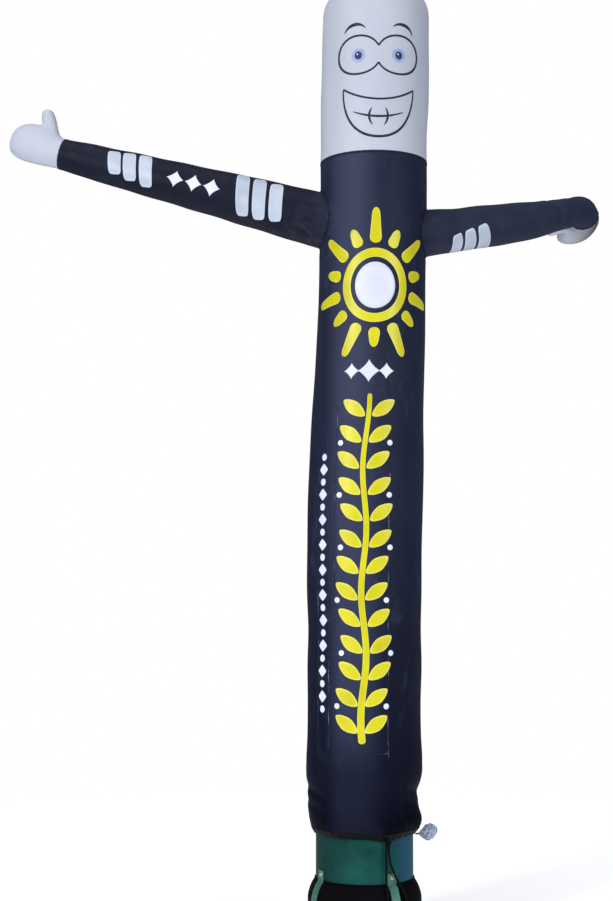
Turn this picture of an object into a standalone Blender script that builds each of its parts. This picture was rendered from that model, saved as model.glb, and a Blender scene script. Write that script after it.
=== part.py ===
"""Inflatable tube dancer standing on its blower.

Metres, +Z up. The origin is on the floor, on the axis of the blower, and the
printed face looks along -Y. The dancer is cloth: a tube, a head, two sleeves and
two mittens, each a thin open shell, sewn edge to edge and held round by air. The
tube's hem is drawn in round the drum of the blower by a tie.

Azimuths are in degrees round the vertical axis, from the front (-Y) towards +X.
"""
from collections import namedtuple
import math

import bmesh
import bpy
import numpy as np

NAME = "tube_dancer"
CLOTH = 0.002
GAP = 0.0003
TUBE_SIDES = 40
SLEEVE_SIDES = 24

# The tube, from its hem to the neck seam.
Section = namedtuple("Section", "height centre_x radius")
TUBE_SECTIONS = [
    Section(0.428, 0.001, 0.2110),
    Section(0.452, 0.003, 0.2270),
    Section(0.482, 0.004, 0.2365),
    Section(0.525, -0.003, 0.2345),
    Section(0.575, -0.008, 0.2300),
    Section(0.612, -0.006, 0.2305),
    Section(0.655, -0.002, 0.2415),
    Section(0.730, 0.000, 0.2440),
    Section(0.820, 0.000, 0.2400),
    Section(0.950, 0.000, 0.2385),
    Section(1.130, 0.002, 0.2410),
    Section(1.270, 0.003, 0.2375),
    Section(1.430, 0.003, 0.2420),
    Section(1.620, 0.004, 0.2425),
    Section(1.820, 0.007, 0.2450),
    Section(2.000, 0.013, 0.2435),
    Section(2.170, 0.018, 0.2395),
    Section(2.340, 0.027, 0.2360),
    Section(2.510, 0.034, 0.2340),
    Section(2.680, 0.039, 0.2305),
    Section(2.860, 0.042, 0.2290),
    Section(3.080, 0.046, 0.2290),
    Section(3.278, 0.048, 0.2300),
]
# The gathers run up from the hem and fade out.
GATHERS = 10
GATHER_DEPTH = 0.004
GATHER_REACH = 0.30
KNOT_AZIMUTH = 23.0
KNOT_DIP = 0.012
KNOT_DIP_SPREAD = 14.0

# The head, from the neck seam to where its top begins to close.
NECK = TUBE_SECTIONS[-1]
HEAD_SECTIONS = [
    Section(NECK.height + GAP, 0.048, 0.2300),
    Section(3.400, 0.049, 0.2300),
    Section(3.530, 0.053, 0.2330),
    Section(3.680, 0.057, 0.2320),
    Section(3.820, 0.058, 0.2315),
    Section(3.915, 0.060, 0.2310),
]
DOME_HEIGHT = 0.155
DOME_POWER = 2.3
DOME_TURNS = (16, 32, 47, 60, 72, 82)

# Sleeves: the middle of each section, and its half sizes across and up.
Station = namedtuple("Station", "x y z wide tall")
LEFT_SLEEVE = [
    Station(-0.080, -0.006, 3.006, 0.126, 0.126),
    Station(-0.178, 0.000, 3.030, 0.120, 0.120),
    Station(-0.497, 0.026, 3.119, 0.106, 0.106),
    Station(-0.748, 0.046, 3.188, 0.095, 0.095),
    Station(-1.021, 0.067, 3.263, 0.083, 0.083),
    Station(-1.203, 0.081, 3.313, 0.075, 0.075),
    Station(-1.317, 0.090, 3.345, 0.067, 0.067),
]
RIGHT_SLEEVE = [
    Station(0.159, -0.030, 2.952, 0.108, 0.108),
    Station(0.318, 0.020, 2.981, 0.098, 0.098),
    Station(0.382, 0.055, 2.996, 0.094, 0.094),
    Station(0.520, 0.120, 3.027, 0.092, 0.092),
    Station(0.708, 0.205, 3.068, 0.087, 0.087),
    Station(0.808, 0.245, 3.093, 0.078, 0.078),
    Station(0.891, 0.285, 3.118, 0.070, 0.070),
    Station(0.966, 0.330, 3.143, 0.065, 0.065),
    Station(1.014, 0.382, 3.156, 0.066, 0.066),
    Station(1.034, 0.425, 3.140, 0.067, 0.067),
]
# How much smaller the hole in the tube is than the sleeve round it.
ARMHOLE_LAP = 0.006

# The mitten: rings of its cage from the wrist to the fingertips. The left one is straight.
# The right one hangs curled back, and rolled so that its thumb is behind the sleeve.
Ring = namedtuple("Ring", "along lift tall wide")
MITTEN_RINGS = [
    Ring(0.000, 0.000, 0.072, 0.072),
    Ring(0.034, 0.002, 0.078, 0.070),
    Ring(0.118, 0.012, 0.094, 0.070),
    Ring(0.180, 0.012, 0.092, 0.064),
    Ring(0.226, 0.006, 0.066, 0.046),
    Ring(0.238, 0.004, 0.034, 0.024),
]
Hand = namedtuple("Hand", "curl roll")
LEFT_HAND = Hand(0.0, 0.0)
RIGHT_HAND = Hand(105.0, 105.0)
MITTEN_CORNERS = 8
THUMB_CORNER = 1
Knuckle = namedtuple("Knuckle", "back front back_lift front_lift wide")
THUMB_ROOT = 0.076
THUMB = [
    Knuckle(0.062, 0.130, 0.132, 0.128, 0.030),
    Knuckle(0.086, 0.134, 0.166, 0.160, 0.025),
    Knuckle(0.100, 0.124, 0.178, 0.174, 0.012),
]

# The blower: a drum that the hem is tied round, on a closed housing.
DRUM_RADIUS = 0.204
DRUM_WALL = 0.003
DRUM_TOP = 0.470
DRUM_BEAD = 0.0015
HOUSING_RADIUS = 0.238
HOUSING_TOP = 0.240
SHOULDER_HEIGHT = 0.075
SHOULDER_WIDTH = 0.033
SHOULDER_POWER = 1.4
SHOULDER_TURNS = range(0, 91, 10)
RIM_HEIGHT = 0.018
RIM_SET_IN = 0.006
TURNED_STEPS = 64
BRACKET_AZIMUTHS = (30.5, 119.0, -151.0, -62.0)
BRACKET_WIDTH = 0.040
BRACKET_THICKNESS = 0.004
BRACKET_TOP = 0.286
BRACKET_FOOT = 0.030
BRACKET_CLEAR = 0.001

# The tie: a knot under the hem, two tails and a pale end at the side.
TIE_DIAMETER = 0.009
KNOT_SIZE = (0.026, 0.020, 0.024)
KNOT_RADIUS = 0.2255
KNOT_HEIGHT = 0.4120
Route = namedtuple("Route", "azimuth radius height")
STRAIGHT_TAIL = [
    Route(21.6, 0.2240, 0.3990),
    Route(21.5, 0.2225, 0.3600),
    Route(21.4, 0.2215, 0.3200),
    Route(21.3, 0.2215, 0.2860),
    Route(21.2, 0.2245, 0.2560),
    Route(21.1, 0.2330, 0.2330),
    Route(21.0, 0.2405, 0.2070),
    Route(21.0, 0.2440, 0.1720),
    Route(21.0, 0.2448, 0.1350),
    Route(21.1, 0.2448, 0.0950),
]
SLANTED_TAIL = [
    Route(24.4, 0.2240, 0.3990),
    Route(24.6, 0.2235, 0.3700),
    Route(25.6, 0.2235, 0.3400),
    Route(28.6, 0.2235, 0.3080),
    Route(32.4, 0.2235, 0.2780),
    Route(36.2, 0.2280, 0.2490),
    Route(39.4, 0.2370, 0.2230),
    Route(41.4, 0.2425, 0.1930),
    Route(42.3, 0.2445, 0.1600),
]
TIE_END_AZIMUTH = 92.0
TIE_LINK_HEIGHT = 0.4180
TIE_END_RINGS = [
    Ring(0.000, 0.000, 0.0060, 0.0060),
    Ring(0.010, 0.002, 0.0150, 0.0110),
    Ring(0.026, 0.005, 0.0290, 0.0170),
    Ring(0.046, 0.008, 0.0310, 0.0190),
    Ring(0.064, 0.012, 0.0240, 0.0150),
    Ring(0.076, 0.015, 0.0100, 0.0070),
]
TIE_END_START = 0.2300

COLOURS = {
    "navy_cloth": ((0.020, 0.024, 0.045), 0.55, 0.0),
    "white_cloth": ((0.60, 0.63, 0.70), 0.55, 0.0),
    "tie": ((0.010, 0.010, 0.012), 0.80, 0.0),
    "pale_tie": ((0.30, 0.35, 0.48), 0.60, 0.0),
    "green_paint": ((0.010, 0.060, 0.055), 0.45, 0.0),
    "bracket_paint": ((0.060, 0.150, 0.120), 0.50, 0.0),
    "black_paint": ((0.010, 0.010, 0.012), 0.50, 0.0),
}


def make_collection(name):
    """A new collection in the scene."""
    collection = bpy.data.collections.new(name)
    bpy.context.scene.collection.children.link(collection)
    return collection


def material(name):
    """The Principled material of that name from COLOURS."""
    made = bpy.data.materials.get(name)
    if made is None:
        colour, roughness, metallic = COLOURS[name]
        made = bpy.data.materials.new(name)
        made.use_nodes = True
        shader = made.node_tree.nodes["Principled BSDF"]
        shader.inputs["Base Color"].default_value = (*colour, 1.0)
        shader.inputs["Roughness"].default_value = roughness
        shader.inputs["Metallic"].default_value = metallic
    return made


def add_object(name, data, collection, finish=None):
    """Link a mesh or curve to a collection, with its material."""
    made = bpy.data.objects.new(name, data)
    collection.objects.link(made)
    if finish:
        data.materials.append(material(finish))
    return made


def add_cutter(name, data, collection):
    """Link a mesh that only cuts others."""
    made = add_object(name, data, collection)
    made.hide_render = True
    made.display_type = "WIRE"
    return made


def cut(target, cutter):
    """Take the cutter's shape out of the target."""
    modifier = target.modifiers.new("cut_" + cutter.name, "BOOLEAN")
    modifier.operation = "DIFFERENCE"
    modifier.solver = "EXACT"
    modifier.object = cutter


def thicken(target):
    """Give an open surface the wall of the cloth, inwards."""
    modifier = target.modifiers.new("cloth", "SOLIDIFY")
    modifier.thickness = CLOTH
    modifier.offset = -1.0


def loft_mesh(name, rings, cap_start=False, cap_end=False):
    """Quads between rings, an array of (ring, corner, xyz), with flat caps."""
    count, corners, _ = rings.shape
    ring, corner = np.meshgrid(np.arange(count - 1), np.arange(corners), indexing="ij")
    after = (corner + 1) % corners
    quads = np.stack([ring * corners + corner, ring * corners + after,
                      (ring + 1) * corners + after, (ring + 1) * corners + corner], axis=-1)
    faces = quads.reshape(-1, 4).tolist()
    if cap_start:
        faces.append(list(range(corners))[::-1])
    if cap_end:
        faces.append([(count - 1) * corners + k for k in range(corners)])
    mesh = bpy.data.meshes.new(name)
    mesh.from_pydata(rings.reshape(-1, 3).tolist(), [], faces)
    mesh.shade_smooth()
    return mesh


def hem_shape(azimuth, height):
    """(radius change, height change) of the tube's cloth near its gathered hem."""
    hem = TUBE_SECTIONS[0].height
    near = np.clip(1.0 - (height - hem) / GATHER_REACH, 0.0, 1.0) ** 2
    waves = 0.6 * np.cos(GATHERS * azimuth) + 0.4 * np.cos(0.3 * GATHERS * azimuth + 1.0)
    low = np.exp(-((np.degrees(azimuth) - KNOT_AZIMUTH) / KNOT_DIP_SPREAD) ** 2)
    drop = -KNOT_DIP * low * np.clip(near, 0.0, 1.0) ** 4
    return GATHER_DEPTH * waves * near * (1.0 - near ** 6), drop


def upright_rings(sections, sides, proud=0.0):
    """Level rings of a tube that leans a little, from its sections."""
    azimuth = np.radians(np.arange(sides) * 360.0 / sides)
    azimuth = np.where(azimuth > math.pi, azimuth - math.tau, azimuth)
    rows = np.array(sections)
    height, centre, radius = (rows[:, k][:, None] for k in range(3))
    swell, drop = hem_shape(azimuth[None, :], height)
    radius = radius + swell + proud
    return np.stack([centre + radius * np.sin(azimuth), -radius * np.cos(azimuth),
                     height + drop], axis=-1)


def sleeve_rings(stations, sides, smaller=0.0):
    """Rings square to the line through the stations, each an ellipse."""
    rows = np.array(stations)
    middle = rows[:, :3]
    along = np.gradient(middle, axis=0)
    along /= np.linalg.norm(along, axis=1)[:, None]
    across = np.cross((0.0, 0.0, 1.0), along)
    across /= np.linalg.norm(across, axis=1)[:, None]
    up = np.cross(along, across)
    turn = np.arange(sides) * math.tau / sides
    wide = (rows[:, 3] - smaller)[:, None, None]
    tall = (rows[:, 4] - smaller)[:, None, None]
    return (middle[:, None, :] + wide * np.cos(turn)[None, :, None] * across[:, None, :]
            + tall * np.sin(turn)[None, :, None] * up[:, None, :])


def end_frame(stations):
    """Where a sleeve ends, and the directions along, across and up there."""
    middle = np.array(stations)[:, :3]
    along = middle[-1] - middle[-2]
    along /= np.linalg.norm(along)
    across = np.cross((0.0, 0.0, 1.0), along)
    across /= np.linalg.norm(across)
    return middle[-1], along, across, np.cross(along, across)


def dome_sections():
    """The head's closing top, a superellipse of revolution."""
    base = HEAD_SECTIONS[-1]
    rows = []
    for turn in DOME_TURNS:
        rise = math.sin(math.radians(turn)) ** (2.0 / DOME_POWER)
        width = math.cos(math.radians(turn)) ** (2.0 / DOME_POWER)
        rows.append(Section(base.height + DOME_HEIGHT * rise, base.centre_x, base.radius * width))
    return rows


def build_tube(parts, cutters):
    """The tube, open at the hem and the neck, with a hole for each sleeve."""
    rings = upright_rings(TUBE_SECTIONS, TUBE_SIDES)
    tube = add_object("body_tube", loft_mesh("body_tube", rings), parts, "navy_cloth")
    thicken(tube)
    for side, stations in (("left", LEFT_SLEEVE), ("right", RIGHT_SLEEVE)):
        hole = sleeve_rings(stations[:3], SLEEVE_SIDES, ARMHOLE_LAP)
        mesh = loft_mesh("armhole_" + side, hole, True, True)
        cut(tube, add_cutter("armhole_" + side, mesh, cutters))


def build_head(parts):
    """The head, open at the neck, with its rounded top."""
    rings = upright_rings(HEAD_SECTIONS + dome_sections(), TUBE_SIDES)
    head = add_object("head", loft_mesh("head", rings, False, True), parts, "white_cloth")
    thicken(head)


def build_sleeve(side, stations, parts, envelope):
    """A sleeve whose root follows the tube and whose wrist is open."""
    mesh = loft_mesh("sleeve_" + side, sleeve_rings(stations, SLEEVE_SIDES))
    sleeve = add_object("sleeve_" + side, mesh, parts, "navy_cloth")
    thicken(sleeve)
    cut(sleeve, envelope)


def hand_frame(reach, hand, ends):
    """The middle, and the directions along, across and up, at a reach along a mitten."""
    place, along, across, up = ends
    bend = math.radians(hand.curl) / MITTEN_RINGS[-1].along
    turn = bend * reach
    middle = place + reach * along
    if bend:
        middle = place + (math.sin(turn) * along + (1.0 - math.cos(turn)) * across) / bend
    ahead = math.cos(turn) * along + math.sin(turn) * across
    aside = math.cos(turn) * across - math.sin(turn) * along
    roll = math.radians(hand.roll)
    return (middle, ahead, math.cos(roll) * aside - math.sin(roll) * up,
            math.cos(roll) * up + math.sin(roll) * aside)


def mitten_mesh(name, hand, ends):
    """The cage of a mitten: rings to the fingertips, and a thumb from one quad."""
    turn = (np.arange(MITTEN_CORNERS) + 0.5) * math.tau / MITTEN_CORNERS
    sine, cosine = np.sin(turn)[:, None], np.cos(turn)[:, None]
    rings = []
    for row in MITTEN_RINGS:
        middle, _, across, up = hand_frame(row.along, hand, ends)
        rings.append(middle + (row.lift + row.tall * sine) * up + row.wide * cosine * across)
    mesh = loft_mesh(name, np.array(rings), False, True)
    cage = bmesh.new()
    cage.from_mesh(mesh)
    cage.verts.ensure_lookup_table()
    first = MITTEN_CORNERS + THUMB_CORNER
    corners = [first, first + 1, first + 1 + MITTEN_CORNERS, first + MITTEN_CORNERS]
    root = [cage.verts[k] for k in corners]
    cage.faces.remove(next(face for face in cage.faces if set(face.verts) == set(root)))
    middle, along, across, up = hand_frame(THUMB_ROOT, hand, ends)
    for knuckle in THUMB:
        back = middle + (knuckle.back - THUMB_ROOT) * along + knuckle.back_lift * up
        front = middle + (knuckle.front - THUMB_ROOT) * along + knuckle.front_lift * up
        side = knuckle.wide * across
        ring = [cage.verts.new(place) for place in (back + side, back - side, front - side, front + side)]
        for k in range(4):
            cage.faces.new((root[k], root[(k + 1) % 4], ring[(k + 1) % 4], ring[k]))
        root = ring
    cage.faces.new(root)
    cage.to_mesh(mesh)
    cage.free()
    mesh.shade_smooth()
    return mesh


def build_mitten(side, stations, hand, parts):
    """A mitten that carries on from the end of its sleeve."""
    place, along, across, up = end_frame(stations)
    mesh = mitten_mesh("mitten_" + side, hand, (place + GAP * along, along, across, up))
    mitten = add_object("mitten_" + side, mesh, parts, "white_cloth")
    smooth = mitten.modifiers.new("smooth", "SUBSURF")
    smooth.levels = smooth.render_levels = 1
    thicken(mitten)


def turned(name, profile, parts, finish, closed):
    """A profile of (radius, height), down its outer side, turned about the axis."""
    count = len(profile)
    edges = [(k, k + 1) for k in range(count - 1)]
    if closed:
        edges.append((count - 1, 0))
    mesh = bpy.data.meshes.new(name)
    mesh.from_pydata([(radius, 0.0, height) for radius, height in profile], edges, [])
    made = add_object(name, mesh, parts, finish)
    screw = made.modifiers.new("turn", "SCREW")
    screw.steps = screw.render_steps = TURNED_STEPS
    screw.use_merge_vertices = True
    screw.merge_threshold = 0.0001
    screw.use_smooth_shade = True
    return made


def shoulder(turn, proud=0.0):
    """(radius, height) on the housing's shoulder, at a turn from its top, in degrees."""
    def place(angle):
        sine, cosine = max(math.sin(angle), 0.0), max(math.cos(angle), 0.0)
        return np.array((HOUSING_RADIUS - SHOULDER_WIDTH + SHOULDER_WIDTH * sine ** (2 / SHOULDER_POWER),
                         HOUSING_TOP - SHOULDER_HEIGHT + SHOULDER_HEIGHT * cosine ** (2 / SHOULDER_POWER)))
    angle = math.radians(turn)
    step = place(angle + 0.02) - place(angle - 0.02)
    out = np.array((-step[1], step[0])) / np.linalg.norm(step)
    return tuple(place(angle) + proud * out)


def build_blower(parts):
    """The housing, the drum on it and the four flat brackets between them."""
    side = [(HOUSING_RADIUS, RIM_HEIGHT + 0.004), (HOUSING_RADIUS - RIM_SET_IN, RIM_HEIGHT),
            (HOUSING_RADIUS - RIM_SET_IN, 0.004), (HOUSING_RADIUS - RIM_SET_IN - 0.004, 0.0)]
    profile = [(0.0, HOUSING_TOP)] + [shoulder(turn) for turn in SHOULDER_TURNS] + side
    turned("fan_housing", profile + [(0.0, 0.0)], parts, "black_paint", False)

    foot = HOUSING_TOP + GAP
    outer = DRUM_RADIUS
    inner = DRUM_RADIUS - DRUM_WALL
    beads = [(outer - DRUM_BEAD, DRUM_TOP), (outer, DRUM_TOP - DRUM_BEAD), (outer, foot),
             (inner, foot), (inner, DRUM_TOP - DRUM_BEAD), (inner + DRUM_BEAD / 2, DRUM_TOP)]
    turned("drum", beads, parts, "green_paint", True)

    out = BRACKET_CLEAR + BRACKET_THICKNESS / 2
    flat = DRUM_RADIUS + out
    line = [(flat, BRACKET_TOP), (flat, HOUSING_TOP + 0.012)]
    line += [shoulder(turn, out) for turn in SHOULDER_TURNS[1:]]
    line += [(HOUSING_RADIUS + out, BRACKET_FOOT)]
    for number, azimuth in enumerate(BRACKET_AZIMUTHS, 1):
        name = f"bracket_{number}"
        made = add_object(name, strip_mesh(name, line, azimuth), parts, "bracket_paint")
        made.data.shade_flat()


def strip_mesh(name, line, azimuth):
    """A flat bar bent along a line of (radius, height) in one upright plane."""
    line = np.array(line)
    along = np.gradient(line, axis=0)
    along /= np.linalg.norm(along, axis=1)[:, None]
    out = np.stack([-along[:, 1], along[:, 0]], axis=1) * BRACKET_THICKNESS / 2
    angle = math.radians(azimuth)
    radial = np.array((math.sin(angle), -math.cos(angle), 0.0))
    across = np.array((math.cos(angle), math.sin(angle), 0.0)) * BRACKET_WIDTH / 2
    rings = []
    for face, side in ((1, 1), (1, -1), (-1, -1), (-1, 1)):
        edge = line + face * out
        rings.append(edge[:, :1] * radial + edge[:, 1:] * np.array((0.0, 0.0, 1.0)) + side * across)
    return loft_mesh(name, np.stack(rings, axis=1), True, True)


def route_points(route, spacing):
    """A smooth line through a route given round the blower's axis."""
    rows = np.array(route)
    angle = np.radians(rows[:, 0])
    points = np.stack([rows[:, 1] * np.sin(angle), -rows[:, 1] * np.cos(angle), rows[:, 2]], axis=1)
    reach = np.concatenate([[0.0], np.cumsum(np.linalg.norm(np.diff(points, axis=0), axis=1))])
    slope = np.gradient(points, reach, axis=0)
    where = np.linspace(0.0, reach[-1], int(reach[-1] / spacing) + 1)
    low = np.clip(np.searchsorted(reach, where, side="right") - 1, 0, len(reach) - 2)
    step = (reach[low + 1] - reach[low])[:, None]
    part = (where[:, None] - reach[low][:, None]) / step
    return ((2 * part ** 3 - 3 * part ** 2 + 1) * points[low]
            + (part ** 3 - 2 * part ** 2 + part) * step * slope[low]
            + (3 * part ** 2 - 2 * part ** 3) * points[low + 1]
            + (part ** 3 - part ** 2) * step * slope[low + 1])


def cord(name, points, diameter, parts):
    """A round cord along points."""
    curve = bpy.data.curves.new(name, "CURVE")
    curve.dimensions = "3D"
    curve.bevel_depth = diameter / 2
    curve.bevel_resolution = 2
    curve.use_fill_caps = True
    spline = curve.splines.new("POLY")
    spline.points.add(len(points) - 1)
    for point, place in zip(spline.points, points):
        point.co = (*place, 1.0)
    return add_object(name, curve, parts, "tie")


def build_tie(parts):
    """The knot below the hem, its two tails, and the pale end at the side."""
    angle = math.radians(KNOT_AZIMUTH)
    bpy.ops.mesh.primitive_uv_sphere_add(segments=16, ring_count=10, radius=0.5)
    knot = bpy.context.object
    knot.name = knot.data.name = "tie_knot"
    for owner in knot.users_collection:
        owner.objects.unlink(knot)
    parts.objects.link(knot)
    knot.scale = KNOT_SIZE
    knot.rotation_euler = (0.0, 0.0, angle)
    knot.location = (KNOT_RADIUS * math.sin(angle), -KNOT_RADIUS * math.cos(angle), KNOT_HEIGHT)
    knot.data.materials.append(material("tie"))
    knot.data.shade_smooth()

    spacing = 2.4 * TIE_DIAMETER
    cord("tail_straight", route_points(STRAIGHT_TAIL, spacing), TIE_DIAMETER, parts)
    cord("tail_slanted", route_points(SLANTED_TAIL, spacing), TIE_DIAMETER, parts)

    side = math.radians(TIE_END_AZIMUTH)
    along = np.array((math.sin(side), -math.cos(side), 0.0))
    across = np.array((math.cos(side), math.sin(side), 0.0))
    up = np.array((0.0, 0.0, 1.0))
    place = TIE_END_START * along + TIE_LINK_HEIGHT * up
    rows = np.array(TIE_END_RINGS)
    reach, lift, tall, wide = (rows[:, k][:, None, None] for k in range(4))
    turn = (np.arange(MITTEN_CORNERS * 2) * math.tau / (MITTEN_CORNERS * 2))[None, :, None]
    rings = (place + reach * along + (lift + tall * np.sin(turn)) * up + wide * np.cos(turn) * across)
    add_object("tie_end", loft_mesh("tie_end", rings, True, True), parts, "pale_tie")
    hem = TUBE_SECTIONS[0]
    start = hem.centre_x + hem.radius + GATHER_DEPTH + TIE_DIAMETER / 4
    reach = np.linspace(start, TIE_END_START - GAP, 4)[:, None]
    cord("tie_link", reach * along + TIE_LINK_HEIGHT * up, TIE_DIAMETER * 0.7, parts)


def build():
    """The whole object."""
    for old in list(bpy.data.objects):
        bpy.data.objects.remove(old, do_unlink=True)
    parts = make_collection(NAME)
    cutters = make_collection("cutters")

    near_arms = [row for row in TUBE_SECTIONS if row.height > 2.3]
    rings = upright_rings(near_arms, TUBE_SIDES, GAP)
    envelope = add_cutter("envelope", loft_mesh("envelope", rings, True, True), cutters)

    build_tube(parts, cutters)
    build_head(parts)
    for side, stations, hand in (("left", LEFT_SLEEVE, LEFT_HAND), ("right", RIGHT_SLEEVE, RIGHT_HAND)):
        build_sleeve(side, stations, parts, envelope)
        build_mitten(side, stations, hand, parts)
    build_blower(parts)
    build_tie(parts)


build()
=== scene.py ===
# Looks of the inflatable air dancer: printed ripstop cloth blown up over a fan drum.
# Metres, +Z up. Azimuths are in degrees round the upright axis, from the front (-Y) to +X.
import math

import bmesh
import bpy
import numpy as np
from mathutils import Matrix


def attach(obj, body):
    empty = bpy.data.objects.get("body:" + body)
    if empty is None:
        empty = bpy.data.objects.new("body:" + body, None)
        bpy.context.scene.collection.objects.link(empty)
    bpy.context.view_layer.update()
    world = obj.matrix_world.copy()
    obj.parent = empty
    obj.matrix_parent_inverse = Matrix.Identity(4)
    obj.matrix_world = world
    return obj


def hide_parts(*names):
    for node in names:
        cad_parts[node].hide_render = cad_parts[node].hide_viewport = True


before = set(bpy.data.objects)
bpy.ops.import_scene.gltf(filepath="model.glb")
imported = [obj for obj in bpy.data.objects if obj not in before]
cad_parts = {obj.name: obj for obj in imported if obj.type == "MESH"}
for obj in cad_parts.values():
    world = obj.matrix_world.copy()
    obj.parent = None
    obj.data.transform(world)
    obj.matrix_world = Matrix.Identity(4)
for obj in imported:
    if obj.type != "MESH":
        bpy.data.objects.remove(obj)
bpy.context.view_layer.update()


# --- shared tools -------------------------------------------------------------------------

def linearColour(hexValue):
    # each sRGB channel through the standard curve, with alpha 1
    parts = [int(hexValue[k:k + 2], 16) / 255 for k in (1, 3, 5)]
    return [((c + 0.055) / 1.055) ** 2.4 if c > 0.04045 else c / 12.92 for c in parts] + [1.0]


def addNode(tree, kind, settings, links=None):
    # settings are sockets by name or number, or else the node's own properties
    node = tree.nodes.new(kind)
    for key, value in settings.items():
        if isinstance(key, int) or key in node.inputs:
            node.inputs[key].default_value = value
        else:
            setattr(node, key, value)
    for key, socket in (links or {}).items():
        tree.links.new(socket, node.inputs[key])
    return node


def startMaterial(name, settings):
    # a Principled material whose uniform values sit on the shader's own sockets, with its
    # object coordinates and its UV
    made = bpy.data.materials.new(name)
    made.use_nodes = True
    tree = made.node_tree
    shader = tree.nodes["Principled BSDF"]
    for key, value in settings.items():
        shader.inputs[key].default_value = value
    place = addNode(tree, "ShaderNodeTexCoord", {}).outputs
    return made, tree, shader, place["Object"], place["UV"]


def feed(tree, shader, sockets):
    for key, socket in sockets.items():
        tree.links.new(socket, shader.inputs[key])


def rampNode(tree, factor, stops):
    # a colour ramp with a stop at each (position, hex colour)
    ramp = addNode(tree, "ShaderNodeValToRGB", {}, {"Fac": factor})
    band = ramp.color_ramp
    while len(band.elements) < len(stops):
        band.elements.new(1.0)
    for element, (position, colour) in zip(band.elements, stops):
        element.position = position
        element.color = linearColour(colour)
    return ramp.outputs["Color"]


def noise(tree, place, scale, detail=2.0, rough=0.5, twist=0.0):
    return addNode(tree, "ShaderNodeTexNoise",
                   {"Scale": scale, "Detail": detail, "Roughness": rough, "Distortion": twist},
                   {"Vector": place}).outputs["Fac"]


def waves(tree, place, direction, period):
    # one bright line a period, in metres
    return addNode(tree, "ShaderNodeTexWave",
                   {"bands_direction": direction, "Scale": math.tau / 20 / period},
                   {"Vector": place}).outputs["Fac"]


def sums(tree, operation, first, second=0.0):
    # one step of arithmetic; second is a socket or a number
    number = isinstance(second, (int, float))
    return addNode(tree, "ShaderNodeMath", {"operation": operation, **({1: second} if number else {})},
                   {0: first, **({} if number else {1: second})}).outputs[0]


def ease(tree, value, start, full, top, base=0.0, kind="LINEAR"):
    # base up to the start, top where it is full
    return addNode(tree, "ShaderNodeMapRange",
                   {"interpolation_type": kind, "From Min": start, "From Max": full,
                    "To Min": base, "To Max": top}, {"Value": value}).outputs[0]


def overlay(tree, colour, factor, tone):
    return addNode(tree, "ShaderNodeMix", {"data_type": "RGBA", 7: linearColour(colour)},
                   {0: factor, 6: tone}).outputs[2]


def relief(tree, height, strength, distance, under=None, invert=False):
    links = {"Height": height, **({} if under is None else {"Normal": under})}
    return addNode(tree, "ShaderNodeBump",
                   {"Strength": strength, "Distance": distance, "invert": invert}, links).outputs[0]


def zones(tree, place, tone, rows):
    # each row: an axis, where the zone starts, where it is full, its easing, strength, colour
    parts = addNode(tree, "ShaderNodeSeparateXYZ", {}, {0: place}).outputs
    for axis, start, full, kind, top, colour in rows:
        tone = overlay(tree, colour, ease(tree, parts[axis], start, full, top, kind=kind), tone)
    return tone


def stack(*parts):
    # the parts spread to one shape, side by side in a new last axis
    return np.stack(np.broadcast_arrays(*parts), axis=-1)


def travelled(points):
    # how far along the line each of its points is
    return np.concatenate([[0.0], np.cumsum(np.linalg.norm(np.diff(points, axis=0), axis=1))])


def smoothRows(rows, where):
    # cubic through the rows, whose first column is the position and the rest the values
    rows = np.array(rows, float)
    knots, values = rows[:, 0], rows[:, 1:]
    slope = np.gradient(values, knots, axis=0)
    low = np.clip(np.searchsorted(knots, where, side="right") - 1, 0, len(knots) - 2)
    step = knots[low + 1] - knots[low]
    part = ((where - knots[low]) / step)[..., None]
    step = step[..., None]
    return ((2 * part ** 3 - 3 * part ** 2 + 1) * values[low]
            + (part ** 3 - 2 * part ** 2 + part) * step * slope[low]
            + (3 * part ** 2 - 2 * part ** 3) * values[low + 1]
            + (part ** 3 - part ** 2) * step * slope[low + 1])


def unit(vectors):
    return vectors / np.linalg.norm(vectors, axis=-1, keepdims=True)


def bump(distance, middle, spread):
    # a soft hill of height 1 at the middle, falling off over the spread
    return np.exp(-((distance - middle) / spread) ** 2)


def gridMesh(name, points, flat, closed=False, pole=None, keep=None):
    # quads between the rows of (row, column, xyz); flat is the UV of each corner, with one
    # more column where the rows close; pole is a last point that closes the final row
    rows, columns, _ = points.shape
    spans = columns if closed else columns - 1
    row, column = np.meshgrid(np.arange(rows - 1), np.arange(spans), indexing="ij")
    after = (column + 1) % columns
    quads = stack(row * columns + column, row * columns + after,
                  (row + 1) * columns + after, (row + 1) * columns + column)
    corners = np.stack([flat[row, column], flat[row, column + 1],
                        flat[row + 1, column + 1], flat[row + 1, column]], axis=2)
    quads, corners = quads.reshape(-1, 4), corners.reshape(-1, 4, 2)
    if keep is not None:
        quads, corners = quads[keep.reshape(-1)], corners[keep.reshape(-1)]
    places = points.reshape(-1, 3)
    faces, uvs = quads.tolist(), corners.reshape(-1, 2)
    if pole is not None:
        places = np.vstack([places, pole])
        last = (rows - 1) * columns
        span = np.arange(spans)
        fans = stack(last + span, last + (span + 1) % columns,
                     np.full(spans, len(places) - 1))
        tip = flat[-1, span] * 0.5 + flat[-1, span + 1] * 0.5
        fanUvs = np.stack([flat[-1, span], flat[-1, span + 1], tip], axis=1)
        faces = faces + fans.tolist()
        uvs = np.vstack([uvs, fanUvs.reshape(-1, 2)])
    mesh = bpy.data.meshes.new(name)
    mesh.from_pydata(places.tolist(), [], faces)
    layer = mesh.uv_layers.new(name="flat")
    layer.data.foreach_set("uv", uvs.astype(np.float32).ravel())
    mesh.shade_smooth()
    return mesh


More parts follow.
